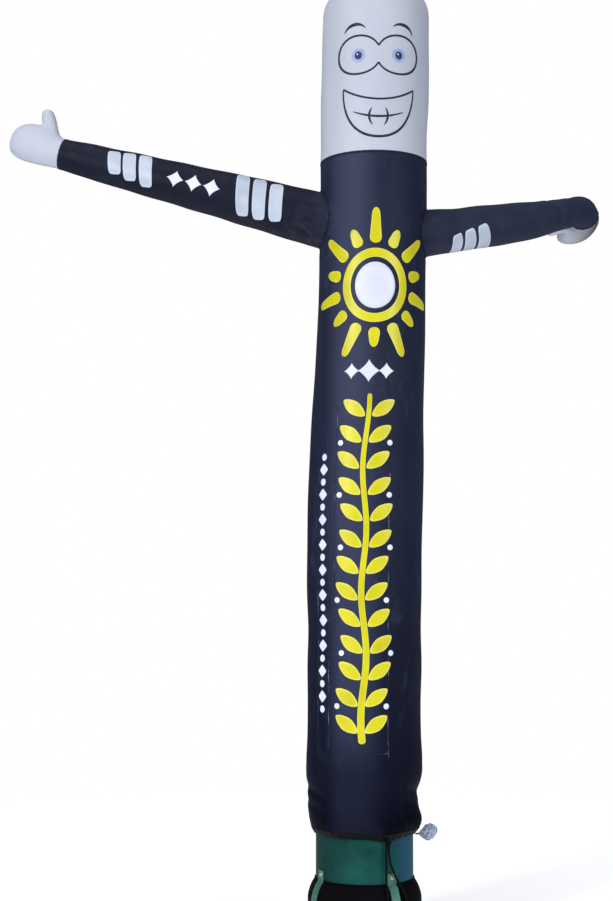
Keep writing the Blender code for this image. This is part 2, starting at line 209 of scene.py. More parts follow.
def addPiece(name, mesh, material, replaced=()):
    # links a finished mesh, and says what it rides on and what it stands for
    piece = bpy.data.objects.new(name, mesh)
    bpy.context.scene.collection.objects.link(piece)
    mesh.materials.append(material)
    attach(piece, "root")
    if replaced:
        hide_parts(*replaced)
    return piece


def joinMeshes(name, meshes):
    # several meshes with the same UV layer as one
    whole = bmesh.new()
    for mesh in meshes:
        whole.from_mesh(mesh)
    made = bpy.data.meshes.new(name)
    whole.to_mesh(made)
    whole.free()
    made.shade_smooth()
    return made


def addJoined(name, meshes, material):
    return addPiece(name, joinMeshes(name, meshes), material)


def tubeMesh(name, points, radius, sides=16, closed=False):
    # a round section carried along the points without twist; UV is (round, along) in metres
    along = unit(np.gradient(points, axis=0))
    if closed:
        along = unit(np.roll(points, -1, axis=0) - np.roll(points, 1, axis=0))
    normal = np.zeros_like(points)
    guess = np.cross(along[0], (0.0, 0.0, 1.0))
    if np.linalg.norm(guess) < 0.1:
        guess = np.cross(along[0], (0.0, 1.0, 0.0))
    for k in range(len(points)):
        guess = guess - np.dot(guess, along[k]) * along[k]
        guess = guess / np.linalg.norm(guess)
        normal[k] = guess
    side = np.cross(along, normal)
    turn = np.arange(sides) * math.tau / sides
    size = np.broadcast_to(radius, len(points))[:, None, None]
    ring = (points[:, None, :] + size * (np.cos(turn)[None, :, None] * normal[:, None, :]
                                         + np.sin(turn)[None, :, None] * side[:, None, :]))
    reach = travelled(points)
    flat = stack(np.linspace(0, math.tau * np.max(radius), sides + 1)[None, :], reach[:, None])
    if closed:
        ring = np.concatenate([ring, ring[:1]])
        flat = np.concatenate([flat, flat[-1:] + (0.0, float(reach[1]))])
    return gridMesh(name, ring, flat, closed=True)


# --- the camera, the floor and the light --------------------------------------------------

studio = {
    "cameraPlace": (-0.243, -6.75, 1.5),
    "cameraPitch": 4.5,             # degrees above level
    "lens": 93.02,                  # mm on a 36 mm wide sensor
    "floorRadius": 4.5,
    "floorDrop": 0.0005,            # below the blower's foot
    "floor": "#f6f6f6",
    "seen": "#ffffff",
    "fill": "#dfe6f5",
    "fillStrength": 0.26,
    "skyStrength": 1.5,
    "skyAngle": 60.0,               # degrees wide, so its shadow is soft
    "skyTurn": (24.0, 0.0, -30.0),
    "keyPlace": (-3.9, -4.6, 3.4),
    "keyAim": (0.0, 0.0, 2.6),
    "keySize": (1.0, 3.2),
    "keyPower": 180.0,
    "sidePlace": (4.6, -5.0, 3.6),
    "sidePower": 145.0,
    "floorGlow": 0.38,
}


def aim(thing, target):
    place = np.array(thing.location)
    ahead = unit(np.array(target) - place)
    turn = math.atan2(-ahead[0], ahead[1])
    thing.rotation_euler = (math.acos(-ahead[2]), 0.0, turn)


def makeStudio():
    scene = bpy.context.scene
    camera = bpy.data.objects.new("camera", bpy.data.cameras.new("camera"))
    camera.data.sensor_fit = "HORIZONTAL"
    camera.data.sensor_width = 36.0
    camera.data.lens = studio["lens"]
    camera.data.clip_end = 200.0
    camera.location = studio["cameraPlace"]
    camera.rotation_euler = (math.radians(90.0 + studio["cameraPitch"]), 0.0, 0.0)
    scene.collection.objects.link(camera)
    scene.camera = camera
    scene.view_settings.view_transform = "Standard"

    turn = np.linspace(0, math.tau, 97)[:-1]
    rim = stack(np.cos(turn), np.sin(turn), 0 * turn)
    rings = studio["floorRadius"] * np.linspace(1.0, 0.1, 6)[:, None, None] * rim[None]
    rings[..., 2] = -studio["floorDrop"]
    flat = np.zeros((6, 97, 2))
    middle = (0, 0, -studio["floorDrop"])
    floor = bpy.data.objects.new("floor", gridMesh("floor", rings, flat, True, middle))
    scene.collection.objects.link(floor)
    made, tree, shader, place, _ = startMaterial("paintedFloor", {
        "Roughness": 0.9, "Specular IOR Level": 0.1, "Emission Color": linearColour(studio["floor"]),
        "Emission Strength": studio["floorGlow"]})
    tone = rampNode(tree, noise(tree, place, 3.0), [(0.3, studio["floor"]), (0.7, "#f9f9f9")])
    feed(tree, shader, {"Base Color": tone})
    floor.data.materials.append(made)

    world = bpy.data.worlds.new("studio")
    world.use_nodes = True
    tree = world.node_tree
    tree.nodes.clear()
    path = addNode(tree, "ShaderNodeLightPath", {})
    fill = addNode(tree, "ShaderNodeBackground",
                   {"Color": linearColour(studio["fill"]), "Strength": studio["fillStrength"]})
    seen = addNode(tree, "ShaderNodeBackground", {"Color": linearColour(studio["seen"]), "Strength": 1.0})
    mixed = addNode(tree, "ShaderNodeMixShader", {}, {0: path.outputs["Is Camera Ray"],
                                                      1: fill.outputs[0], 2: seen.outputs[0]})
    addNode(tree, "ShaderNodeOutputWorld", {}, {"Surface": mixed.outputs[0]})
    scene.world = world

    sky = bpy.data.objects.new("sky", bpy.data.lights.new("sky", "SUN"))
    sky.data.energy = studio["skyStrength"]
    sky.data.angle = math.radians(studio["skyAngle"])
    sky.rotation_euler = [math.radians(value) for value in studio["skyTurn"]]
    scene.collection.objects.link(sky)

    for name in ("key", "side"):
        lamp = bpy.data.objects.new(name, bpy.data.lights.new(name, "AREA"))
        lamp.data.shape = "RECTANGLE"
        lamp.data.size, lamp.data.size_y = studio["keySize"]
        lamp.data.energy = studio[name + "Power"]
        lamp.location = studio[name + "Place"]
        lamp.visible_camera = False
        aim(lamp, studio["keyAim"])
        scene.collection.objects.link(lamp)


makeStudio()
print("studio ready")


# --- materials ----------------------------------------------------------------------------

def makeRipstop(name, look):
    # coated ripstop nylon: a thin woven cloth with a raised thread grid, chalky scuffs where
    # its coating rubbed off, and small crinkles that catch the light
    made, tree, shader, place, flat = startMaterial(name, {
        "IOR": 1.53, "Sheen Weight": look["sheen"], "Sheen Roughness": 0.45})
    # cloudy tone over 0.4 m, drawn out along the tube
    long = addNode(tree, "ShaderNodeMapping", {"Scale": (1.0, 1.0, 0.45)}, {"Vector": place}).outputs[0]
    tone = rampNode(tree, noise(tree, long, 2.6, 5.0, 0.55),
                    [(0.30, look["dark"]), (0.52, look["colour"]), (0.74, look["light"])])
    tone = zones(tree, place, tone, look["zones"])
    # a painted highlight: a lighter band down the front, left of the middle, for the key light's sheen,
    # weaker lower down
    parts = addNode(tree, "ShaderNodeSeparateXYZ", {}, {0: place}).outputs
    # full from 0.95 m up and a quarter below 0.70 m; it weakens the painted highlight and the scuffs lower
    # down
    higherUp = ease(tree, parts["Z"], 0.70, 0.95, 1.0, 0.25)
    band = sums(tree, "MULTIPLY", ease(tree, parts["X"], -0.175, -0.095, 1.0, kind="SMOOTHSTEP"),
                ease(tree, parts["X"], 0.100, -0.030, 1.0, kind="SMOOTHSTEP"))
    front = ease(tree, parts["Y"], -0.06, -0.15, look["fade"])
    paintedSheenMask = sums(tree, "MULTIPLY", sums(tree, "MULTIPLY", band, front), higherUp)
    tone = overlay(tree, look["paintedSheenColour"], paintedSheenMask, tone)
    # a patch inside a ball, made of wisps: real dust on the navy cloth, painted shade on the white
    ball = addNode(tree, "ShaderNodeMapping", {"vector_type": "TEXTURE", "Location": look["dustAndShadeAt"],
                                               "Scale": look["dustAndShadeSize"]}, {"Vector": place}).outputs[0]
    patch = addNode(tree, "ShaderNodeTexGradient", {"gradient_type": "SPHERICAL"}, {"Vector": ball})
    wisps = ease(tree, noise(tree, place, 15.0, 6.0, 0.7, 0.5), *look["wisps"], look["dustAndShade"])
    tone = overlay(tree, look["dustAndShadeColour"], sums(tree, "MULTIPLY", patch.outputs["Fac"], wisps), tone)
    # scuffs of the coating over 60 mm
    scuff = noise(tree, long, 16.0, 8.0, 0.65, 0.4)
    rubbed = sums(tree, "MULTIPLY", ease(tree, scuff, 0.56, 0.80, look["scuff"]), higherUp)
    tone = overlay(tree, look["scuffColour"], rubbed, tone)
    # ripstop threads every 12 mm: the real 5 mm grid is finer than the render shows
    lines = [sums(tree, "POWER", waves(tree, flat, direction, 0.012), 14.0) for direction in ("X", "Y")]
    grid = sums(tree, "MAXIMUM", *lines)
    tone = overlay(tree, look["light"], sums(tree, "MULTIPLY", grid, look["threads"]), tone)
    # crinkles 20 to 60 mm long, then the thread grid; the cloth shines less towards the bottom
    folds = relief(tree, noise(tree, long, 22.0, 4.0, 0.5, 1.2), look["crinkle"], 0.004)
    low, high = look["rough"]
    feed(tree, shader, {
        "Base Color": tone, "Roughness": ease(tree, scuff, 0.3, 0.7, high, low),
        "Specular IOR Level": ease(tree, parts["Z"], 0.60, 2.20, look["gloss"], look["lowGloss"]),
        "Normal": relief(tree, grid, 0.25, 0.0004, folds)})
    return made


navyCloth = makeRipstop("navyRipstopNylon", {
    "dark": "#151a2f", "colour": "#1a2036", "light": "#242b43",
    "zones": (("Z", 1.70, 0.45, "LINEAR", 0.94, "#060815"),         # painted shade: darker towards the bottom, where less light reaches
              ("Z", 0.60, 0.47, "SMOOTHSTEP", 0.90, "#020308"),     # painted shade: darker still in the gathers above the hem
              ("X", -0.190, -0.235, "LINEAR", 0.88, "#080c20"),     # painted shade: the left sleeve darkened
              ("X", 0.24, 0.34, "LINEAR", 0.18, "#414762")),        # painted light: the right sleeve lightened
    # the painted highlight band down the front: its strength and colour
    "fade": 0.55, "paintedSheenColour": "#414762",
    # chalky dust below the left armpit
    "dustAndShadeAt": (-0.215, -0.130, 2.900), "dustAndShadeSize": (0.15, 0.20, 0.22), "dustAndShade": 0.6,
    "dustAndShadeColour": "#4f5874", "wisps": (0.48, 0.72),
    "scuff": 0.30, "scuffColour": "#4f5874", "threads": 0.18, "crinkle": 0.20,
    "gloss": 0.14, "lowGloss": 0.02, "sheen": 0.0, "rough": (0.50, 0.64)})
whiteCloth = makeRipstop("whiteRipstopNylon", {
    "dark": "#b9bfcf", "colour": "#c0c6d4", "light": "#c8cedb", "zones": (),
    "fade": 0.0, "paintedSheenColour": "#c8cedb",
    # painted shade darkening the far end of the right mitten
    "dustAndShadeAt": (1.140, 0.52, 3.080), "dustAndShadeSize": (0.17, 1.50, 0.20), "dustAndShade": 1.5,
    "dustAndShadeColour": "#343943", "wisps": (0.0, 0.3),
    "scuff": 0.25, "scuffColour": "#adb3c2", "threads": 0.15, "crinkle": 0.10,
    "gloss": 0.35, "lowGloss": 0.35, "sheen": 0.05, "rough": (0.50, 0.62)})


def makeVinyl(name, tones, edge, edgeFrom, rough):
    # heat-pressed vinyl film: smooth, half glossy, with a painted highlight band along its edge and faint
    # orange peel
    made, tree, shader, place, flat = startMaterial(name, {"Specular IOR Level": 0.45, "IOR": 1.5,
                                                           "Roughness": rough})
    # the UV's x runs from -1 to 1 across each stroke
    parts = addNode(tree, "ShaderNodeSeparateXYZ", {}, {0: flat}).outputs
    across = sums(tree, "ABSOLUTE", parts["X"])
    tone = rampNode(tree, noise(tree, place, 5.0, 4.0), list(zip((0.32, 0.52, 0.72), tones)))
    # the painted edge band: paler on the yellow and grey film, darker on the white
    tone = overlay(tree, edge, ease(tree, across, edgeFrom, 1.0, 0.85), tone)
    feed(tree, shader, {"Base Color": tone,
                        "Normal": relief(tree, noise(tree, place, 140.0), 0.15, 0.0006)})
    return made


yellowVinyl = makeVinyl("yellowHeatPressVinyl", ("#c3bc00", "#d3cd08", "#ddd622"), "#e4e06a", 0.72, 0.38)
whiteVinyl = makeVinyl("whiteHeatPressVinyl", ("#d8dcf0", "#e0e4f6", "#e8ebfa"), "#c9cfe4", 0.80, 0.40)
greyVinyl = makeVinyl("silverGreyVinyl", ("#aeb9cb", "#bac5d8", "#c6d0e0"), "#d0d8e6", 0.80, 0.40)


def makeInk(name, rough, gloss, grain, stops):
    # a thin printed or dried layer: matt, and uneven where the cloth took less of it
    made, tree, shader, place, _ = startMaterial(name, {"Roughness": rough, "Specular IOR Level": gloss})
    feed(tree, shader, {"Base Color": rampNode(tree, noise(tree, place, *grain), stops)})
    return made


faceInk = makeInk("navyScreenInk", 0.55, 0.3, (45.0, 6.0), [(0.35, "#1a1e2f"), (0.75, "#2b3148")])
irisInk = makeInk("paleBlueScreenInk", 0.55, 0.3, (45.0, 6.0), [(0.35, "#93a6d2"), (0.75, "#a9bcdf")])
pupilInk = makeInk("deepBlueScreenInk", 0.45, 0.3, (45.0, 6.0), [(0.35, "#1b2c4c"), (0.75, "#2a3f63")])
# the dried glue line round clear transfer film: milky here and gone there
filmEdge = makeInk("clearFilmEdge", 0.55, 0.2, (14.0, 5.0, 0.7),
                   [(0.42, "#0f1322"), (0.54, "#262c44"), (0.68, "#6d7590")])


def makeSeam(name, dark, colour, thread):
    # folded cloth with a row of lockstitch down each side, 6 mm a stitch so that it shows
    made, tree, shader, place, flat = startMaterial(name, {"Roughness": 0.65, "Specular IOR Level": 0.12})
    parts = addNode(tree, "ShaderNodeSeparateXYZ", {}, {0: flat}).outputs
    row = addNode(tree, "ShaderNodeMath", {"operation": "COMPARE", 1: 0.62, 2: 0.10},
                  {0: sums(tree, "ABSOLUTE", parts["X"])}).outputs[0]
    stitch = sums(tree, "MULTIPLY", row, sums(tree, "GREATER_THAN", waves(tree, flat, "Y", 0.006), 0.25))
    cloud = noise(tree, place, 30.0, 4.0)
    tone = rampNode(tree, cloud, [(0.35, dark), (0.70, colour)])
    puckers = relief(tree, cloud, 0.35, 0.002)
    feed(tree, shader, {"Base Color": overlay(tree, thread, stitch, tone),
                        "Normal": relief(tree, stitch, 0.5, 0.0006, puckers)})
    return made


navySeam = makeSeam("navySeamTape", "#161b2e", "#1d2338", "#30374f")
# painted shade: the hem band is painted near black, for the shade at the tucked-in hem
hemBand = makeSeam("hemBandInPaintedShade", "#020306", "#04050b", "#090c16")
whiteSeam = makeSeam("whiteSeamTape", "#b4bacb", "#c3c9d9", "#e3e7f1")


def makeCord(name, dark, light):
    # braided polyester cord: strands cross every 3 mm and catch a dull light
    made, tree, shader, _, flat = startMaterial(name, {"Roughness": 0.80, "Specular IOR Level": 0.10})
    braids = []
    for lean in (1.0, -1.0):
        turned = addNode(tree, "ShaderNodeMapping", {"Rotation": (0.0, 0.0, lean * math.radians(40))},
                         {"Vector": flat}).outputs[0]
        braids.append(waves(tree, turned, "X", 0.003))
    braid = sums(tree, "MULTIPLY", *braids)
    feed(tree, shader, {"Base Color": rampNode(tree, braid, [(0.0, dark), (0.8, light)]),
                        "Normal": relief(tree, braid, 0.8, 0.0008)})
    return made


blackCord = makeCord("blackBraidedCord", "#040506", "#101116")


def makePaleCloth():
    # a torn end of washed cotton: crumpled and pale blue, with painted shade darkening its folds
    made, tree, shader, place, _ = startMaterial("washedCotton", {"Roughness": 0.85, "Sheen Weight": 0.3})
    fold = noise(tree, place, 60.0, 5.0, 0.5, 1.0)
    tone = rampNode(tree, fold, [(0.36, "#66728e"), (0.48, "#97a5c0"), (0.70, "#b9c4da")])
    feed(tree, shader, {"Base Color": tone, "Normal": relief(tree, fold, 0.9, 0.004)})
    return made


paleCloth = makePaleCloth()


def makePaint(name, look):
    # enamel brushed or sprayed on sheet steel: faint orange peel, dull rubbed patches, zones of other tone
    # and chips that show the primer or the metal
    made, tree, shader, place, _ = startMaterial(name, {"Specular IOR Level": look["gloss"], "IOR": 1.5})
    cloud = noise(tree, place, 7.0, 7.0, 0.6)
    tone = rampNode(tree, cloud, [(0.32, look["dark"]), (0.52, look["colour"]), (0.74, look["light"])])
    tone = zones(tree, place, tone, look["zones"])
    chips = noise(tree, place, look["chipScale"], 9.0, 0.7)
    worn = ease(tree, chips, look["chipFrom"], look["chipFrom"] + 0.03, look["chips"])
    low, high = look["rough"]
    skin = relief(tree, noise(tree, place, 260.0), 0.12, 0.0006)
    feed(tree, shader, {"Base Color": overlay(tree, look["under"], worn, tone),
                        "Roughness": ease(tree, cloud, 0.3, 0.7, high, low),
                        "Normal": relief(tree, worn, 0.35, 0.0006, skin, True)})
    return made


drumPaint = makePaint("greenEnamelOnSteel", {
    "dark": "#0b3835", "colour": "#134743", "light": "#1b534e", "under": "#4b605b", "chips": 0.5,
    "chipScale": 26.0, "chipFrom": 0.70, "gloss": 0.06, "rough": (0.50, 0.62),
    "zones": (("X", 0.100, 0.165, "SMOOTHSTEP", 1.0, "#1c4a60"),    # painted reflection of the sky: bluer towards +X
              ("X", -0.06, -0.19, "LINEAR", 0.60, "#06100f"))})     # darker towards -X
bracketPaint = makePaint("wornGreenEnamelOnFlatSteel", {
    "dark": "#355e53", "colour": "#47766a", "light": "#5a8a7c", "under": "#9aa59f", "chips": 0.7,
    "chipScale": 60.0, "chipFrom": 0.60, "gloss": 0.3, "rough": (0.45, 0.65),
    # darker towards -X, as on the drum
    "zones": (("X", -0.06, -0.19, "LINEAR", 0.25, "#06100f"),)})
housingPaint = makePaint("blackPowderCoat", {
    "dark": "#040406", "colour": "#060609", "light": "#0b0b10", "under": "#1c1c20", "chips": 0.5,
    "chipScale": 34.0, "chipFrom": 0.68, "gloss": 0.05, "rough": (0.75, 0.90), "zones": ()})


def makeSteel():
    # zinc-plated steel screws: bright grey with a dull bloom
    made, tree, shader, place, _ = startMaterial("zincPlatedSteel", {"Metallic": 1.0})
    bloom = noise(tree, place, 220.0, 5.0)
    feed(tree, shader, {"Base Color": rampNode(tree, bloom, [(0.35, "#8d938f"), (0.65, "#b9bdb8")]),
                        "Roughness": ease(tree, bloom, 0.0, 1.0, 0.55, 0.30)})
    return made


steel = makeSteel()
print("materials ready")


# --- the tie: cords first -----------------------------------------------------------------

# the same route points as the model's: (azimuth, radius, height)
tie = {
    "diameter": 0.009,
    "straight": [(21.6, 0.2240, 0.3990), (21.5, 0.2225, 0.3600), (21.4, 0.2215, 0.3200),
                 (21.3, 0.2215, 0.2860), (21.2, 0.2245, 0.2560), (21.1, 0.2330, 0.2330),
                 (21.0, 0.2405, 0.2070), (21.0, 0.2440, 0.1720), (21.0, 0.2448, 0.1350),
                 (21.1, 0.2448, 0.0950)],
    "slanted": [(24.4, 0.2240, 0.3990), (24.6, 0.2235, 0.3700), (25.6, 0.2235, 0.3400),
                (28.6, 0.2235, 0.3080), (32.4, 0.2235, 0.2780), (36.2, 0.2280, 0.2490),
                (39.4, 0.2370, 0.2230), (41.4, 0.2425, 0.1930), (42.3, 0.2445, 0.1600)],
    "knotAzimuth": 23.0, "knotRadius": 0.2255, "knotHeight": 0.4120,
    "endAzimuth": 92.0, "endStart": 0.2300, "linkHeight": 0.4180,
    # along, lift, tall, wide
    "endRings": [(0.000, 0.000, 0.0060, 0.0060), (0.010, 0.002, 0.0150, 0.0110),
                 (0.026, 0.005, 0.0290, 0.0170), (0.046, 0.008, 0.0310, 0.0190),
                 (0.064, 0.012, 0.0240, 0.0150), (0.076, 0.015, 0.0100, 0.0070)],
}


def radialAxes(azimuth):
    # outwards, round towards greater azimuth, and up
    angle = math.radians(azimuth)
    return (np.array((math.sin(angle), -math.cos(angle), 0.0)),
            np.array((math.cos(angle), math.sin(angle), 0.0)), np.array((0.0, 0.0, 1.0)))


def routeLine(route, spacing):
    # a cubic through the route's points, read off at even spacing
    rows = np.array(route)
    angle = np.radians(rows[:, 0])
    points = np.stack([rows[:, 1] * np.sin(angle), -rows[:, 1] * np.cos(angle), rows[:, 2]], axis=1)
    reach = travelled(points)
    table = np.column_stack([reach, points])
    return smoothRows(table, np.linspace(0.0, reach[-1], int(reach[-1] / spacing) + 1))


def makeTail(name, route):
    # a braided cord whose free end is melted to a small round bead
    line = routeLine(route, 0.003)
    reach = travelled(line)
    length = float(reach[-1])
    left = length - reach
    size = tie["diameter"] / 2 * np.sqrt(np.clip(left / 0.0045, 0.02, 1.0))
    piece = addPiece(name + "_cord", tubeMesh(name, line, size), blackCord, (name,))
    return length


def makeTie():
    lengths = [makeTail("tail_straight", tie["straight"]), makeTail("tail_slanted", tie["slanted"])]
    out, aside, up = radialAxes(tie["knotAzimuth"])
    middle = tie["knotRadius"] * out + tie["knotHeight"] * up
    # overhand knot: a trefoil line, flattened against the drum
    turn = np.linspace(0, math.tau, 121)[:-1]
    ring = 0.0068 + 0.0034 * np.cos(3 * turn)
    line = (middle + (ring * np.cos(2 * turn) * 1.05)[:, None] * aside
            + (ring * np.sin(2 * turn) * 1.15)[:, None] * up + (0.0042 * np.sin(3 * turn))[:, None] * out)
    addPiece("knot_wraps", tubeMesh("knot_wraps", line, 0.0041, closed=True), blackCord,
             ("tie_knot",))

    out, aside, up = radialAxes(tie["endAzimuth"])
    start = tie["endStart"] * out + tie["linkHeight"] * up
    rows = np.array(tie["endRings"])
    reach = np.linspace(0.0, rows[-1, 0], 60)
    lift, tall, wide = (smoothRows(rows, reach)[:, k][:, None, None] for k in range(3))
    turn = np.linspace(0, math.tau, 97)[:-1][None, :, None]
    # crumples: three crossing waves round and along the bundle
    along = reach[:, None, None]
    crumple = (0.10 * np.sin(5 * turn + 260 * along) + 0.08 * np.sin(9 * turn - 150 * along)
               + 0.05 * np.cos(14 * turn + 90 * along))
    size = 1.0 + crumple * np.sin(np.pi * along / rows[-1, 0])
    points = (start + along * out + (lift + size * tall * np.sin(turn)) * up
              + size * wide * np.cos(turn) * aside)
    flat = np.zeros((60, 97, 2))
    tip = start + rows[-1, 0] * out + rows[-1, 1] * up + 0.001 * out
    mesh = gridMesh("tie_bundle", points[:, ::-1], flat, True, tip)
    addPiece("tie_bundle", mesh, paleCloth, ("tie_end",))

    link = np.linspace(0.214, tie["endStart"] + 0.006, 12)[:, None] * out + tie["linkHeight"] * up
    addPiece("tie_neck", tubeMesh("tie_neck", link, tie["diameter"] * 0.35), blackCord,
             ("tie_link",))
    return lengths


tailLengths = makeTie()
print("tie ready", [round(length, 3) for length in tailLengths])


# --- cloth surfaces -----------------------------------------------------------------------

tube = {
    # height, centre x, radius
    "sections": [(0.428, 0.001, 0.2110), (0.452, 0.003, 0.2270), (0.482, 0.004, 0.2365),
                 (0.525, -0.003, 0.2345), (0.575, -0.008, 0.2300), (0.612, -0.006, 0.2305),
                 (0.655, -0.002, 0.2415), (0.730, 0.000, 0.2440), (0.820, 0.000, 0.2400),
                 (0.950, 0.000, 0.2385), (1.130, 0.002, 0.2410), (1.270, 0.003, 0.2375),
                 (1.430, 0.003, 0.2420), (1.620, 0.004, 0.2425), (1.820, 0.007, 0.2450),
                 (2.000, 0.013, 0.2435), (2.170, 0.018, 0.2395), (2.340, 0.027, 0.2360),
                 (2.510, 0.034, 0.2340), (2.680, 0.039, 0.2305), (2.860, 0.042, 0.2290),
                 (3.080, 0.046, 0.2290), (3.278, 0.048, 0.2300)],
    "columns": 240,
    "rows": 400,
    "gathers": 10,
    "gatherDepth": 0.004,
    "gatherReach": 0.30,
    "knotAzimuth": 23.0,
    "knotDip": 0.012,
    "knotSpread": 14.0,
    "flat": 0.2387,                 # radius that turns an azimuth into a flat width
}
# where each sleeve meets the tube: azimuth of its middle, height, and how far the creases reach
shoulders = {"left": (-84.0, 3.010, 0.125), "right": (88.0, 2.960, 0.103)}


def tubePoint(azimuth, height, proud=0.0):
    # rings whose radius follows the sections, plus the hem's gathers, the waist's folds, the
    # shoulders' rays and the neck's puckers
    row = smoothRows(tube["sections"], height)
    centre, radius = row[..., 0], row[..., 1]
    hem = tube["sections"][0][0]
    neck = tube["sections"][-1][0]
    near = np.clip(1.0 - (height - hem) / tube["gatherReach"], 0.0, 1.0) ** 2
    turns = tube["gathers"] * azimuth
    pleats = 0.6 * np.cos(turns) + 0.4 * np.cos(0.3 * turns + 1.0)
    swell = tube["gatherDepth"] * pleats * near * (1.0 - near ** 6)
    low = bump(np.degrees(azimuth), tube["knotAzimuth"], tube["knotSpread"])
    drop = -tube["knotDip"] * low * near ** 4
    # fine gathers close to the hem
    fine = 0.0013 * np.cos(41 * azimuth + 2.0 * np.sin(3 * azimuth)) * np.clip(near * 1.5 - 0.5, 0, 1)
    # slanting folds where the cloth is pinched in above the drum
    slant = np.sin(7 * azimuth + 95 * height + 1.5 * np.sin(2 * azimuth))
    waist = 0.0022 * slant * bump(height, 0.585, 0.055)
    # slow uneven fullness of the blown tube
    slow = (0.0010 * np.sin(2 * azimuth + 3.1 * height) + 0.0008 * np.sin(3 * azimuth - 5.3 * height + 1)
            + 0.0006 * np.sin(5 * azimuth + 9.1 * height + 2))
    slow = slow * np.clip((height - 0.7) / 0.3, 0, 1) * np.clip((neck - height) / 0.1, 0, 1)
    puckers = 0.0007 * np.cos(52 * azimuth + np.sin(5 * azimuth)) * np.exp(-(neck - height) / 0.022)
    back = np.abs(np.mod(azimuth, math.tau) - math.pi) * tube["flat"]
    seamed = 0.0006 * np.cos(height * math.tau / 0.037 + np.sin(9 * height)) * np.exp(-back / 0.020)
    creases = 0.0
    for place, level, size in shoulders.values():
        x = (azimuth - math.radians(place)) * 0.229
        y = height - level
        gone = np.hypot(x, y) - size
        ray = np.arctan2(y, x)
        creases = creases + 0.0024 * (np.cos(13 * ray + 2 * np.sin(3 * ray))) * np.exp(
            -np.abs(gone) / 0.045) * np.clip(np.abs(gone) / 0.01, 0, 1)
    radius = radius + swell + fine + waist + slow + puckers + seamed + creases + proud
    return stack(centre + radius * np.sin(azimuth), -radius * np.cos(azimuth), height + drop)


def tubePlace(flatX, flatY, proud=0.0):
    return tubePoint(flatX / tube["flat"], flatY, proud)


head = {
    "sections": [(3.2783, 0.048, 0.2300), (3.400, 0.049, 0.2300), (3.530, 0.053, 0.2330),
                 (3.680, 0.057, 0.2320), (3.820, 0.058, 0.2315), (3.915, 0.060, 0.2310)],
    "domeHeight": 0.155,
    "domePower": 2.3,
    "flat": 0.232,
    "capRadius": 0.150,             # the round panel that closes the top
    "columns": 200,
}


def headPoint(azimuth, height, proud=0.0):
    # the head's side: rings of the sections' radius with puckers at the neck
    row = smoothRows(head["sections"], height)
    neck = head["sections"][0][0]
    puckers = 0.0007 * np.cos(52 * azimuth + np.sin(5 * azimuth)) * np.exp(-(height - neck) / 0.022)
    slow = (0.0009 * np.sin(2 * azimuth + 6.1 * height + 1) + 0.0006 * np.sin(4 * azimuth - 8.3 * height))
    slow = slow * np.clip((height - neck) / 0.08, 0, 1)
    radius = row[..., 1] + puckers + slow + proud
    return stack(row[..., 0] + radius * np.sin(azimuth), -radius * np.cos(azimuth),
                 height + 0 * azimuth)


def headPlace(flatX, flatY, proud=0.0):
    return headPoint(flatX / head["flat"], flatY, proud)


def domePoint(azimuth, turn, proud=0.0):
    # a superellipse turned about the axis, carrying on from the side's slow swells
    _, centre, radius = head["sections"][-1]
    top = head["sections"][-1][0]
    width = np.cos(turn) ** (2 / head["domePower"])
    rise = np.sin(turn) ** (2 / head["domePower"])
    fade = np.clip(1 - turn / 0.9, 0, 1)
    slow = (0.0009 * np.sin(2 * azimuth + 6.1 * top + 1) + 0.0006 * np.sin(4 * azimuth - 8.3 * top)) * fade
    reach = radius * width
    puckers = 0.0010 * np.cos(38 * azimuth) * np.exp(-np.abs(reach - head["capRadius"]) / 0.014)
    side = reach + slow + proud * np.cos(turn)
    return stack(centre + side * np.sin(azimuth), -side * np.cos(azimuth),
                 top + head["domeHeight"] * rise + puckers + proud * np.sin(turn))


sleeves = {
    # x, y, z, half size across, half size up
    "left": {"stations": [(-0.080, -0.006, 3.006, 0.126, 0.126), (-0.178, 0.000, 3.030, 0.120, 0.120),
                          (-0.497, 0.026, 3.119, 0.106, 0.106), (-0.748, 0.046, 3.188, 0.095, 0.095),
                          (-1.021, 0.067, 3.263, 0.083, 0.083), (-1.203, 0.081, 3.313, 0.075, 0.075),
                          (-1.317, 0.090, 3.345, 0.067, 0.067)],
             "front": 0.0, "flat": 0.095, "curl": 0.0, "roll": 0.0, "sheet": (0.75, 1.20), "area": 0.72},
    "right": {"stations": [(0.159, -0.030, 2.952, 0.108, 0.108), (0.318, 0.020, 2.981, 0.098, 0.098),
                           (0.382, 0.055, 2.996, 0.094, 0.094), (0.520, 0.120, 3.027, 0.092, 0.092),
                           (0.708, 0.205, 3.068, 0.087, 0.087), (0.808, 0.245, 3.093, 0.078, 0.078),
                           (0.891, 0.285, 3.118, 0.070, 0.070), (0.966, 0.330, 3.143, 0.065, 0.065),
                           (1.014, 0.382, 3.156, 0.066, 0.066), (1.034, 0.425, 3.140, 0.067, 0.067)],
              "front": 180.0, "flat": 0.085, "curl": 105.0, "roll": 105.0, "sheet": (0.66, 1.00),
              "area": 0.50},
}
for sleeve in sleeves.values():
    reach = travelled(np.array(sleeve["stations"])[:, :3])
    sleeve["table"] = np.column_stack([reach, sleeve["stations"]])
    sleeve["length"] = float(reach[-1])


def sleeveFrame(side, reach):
    # the middle line and its directions along, across and up
    table = sleeves[side]["table"]
    row = smoothRows(table, reach)
    ends = (smoothRows(table, np.clip(reach + 0.004, 0, sleeves[side]["length"]))
            - smoothRows(table, np.clip(reach - 0.004, 0, sleeves[side]["length"])))
    along = unit(ends[..., :3])
    across = unit(stack(-along[..., 1], along[..., 0], 0 * along[..., 0]))
    return row[..., :3], along, across, np.cross(along, across), row[..., 3], row[..., 4]


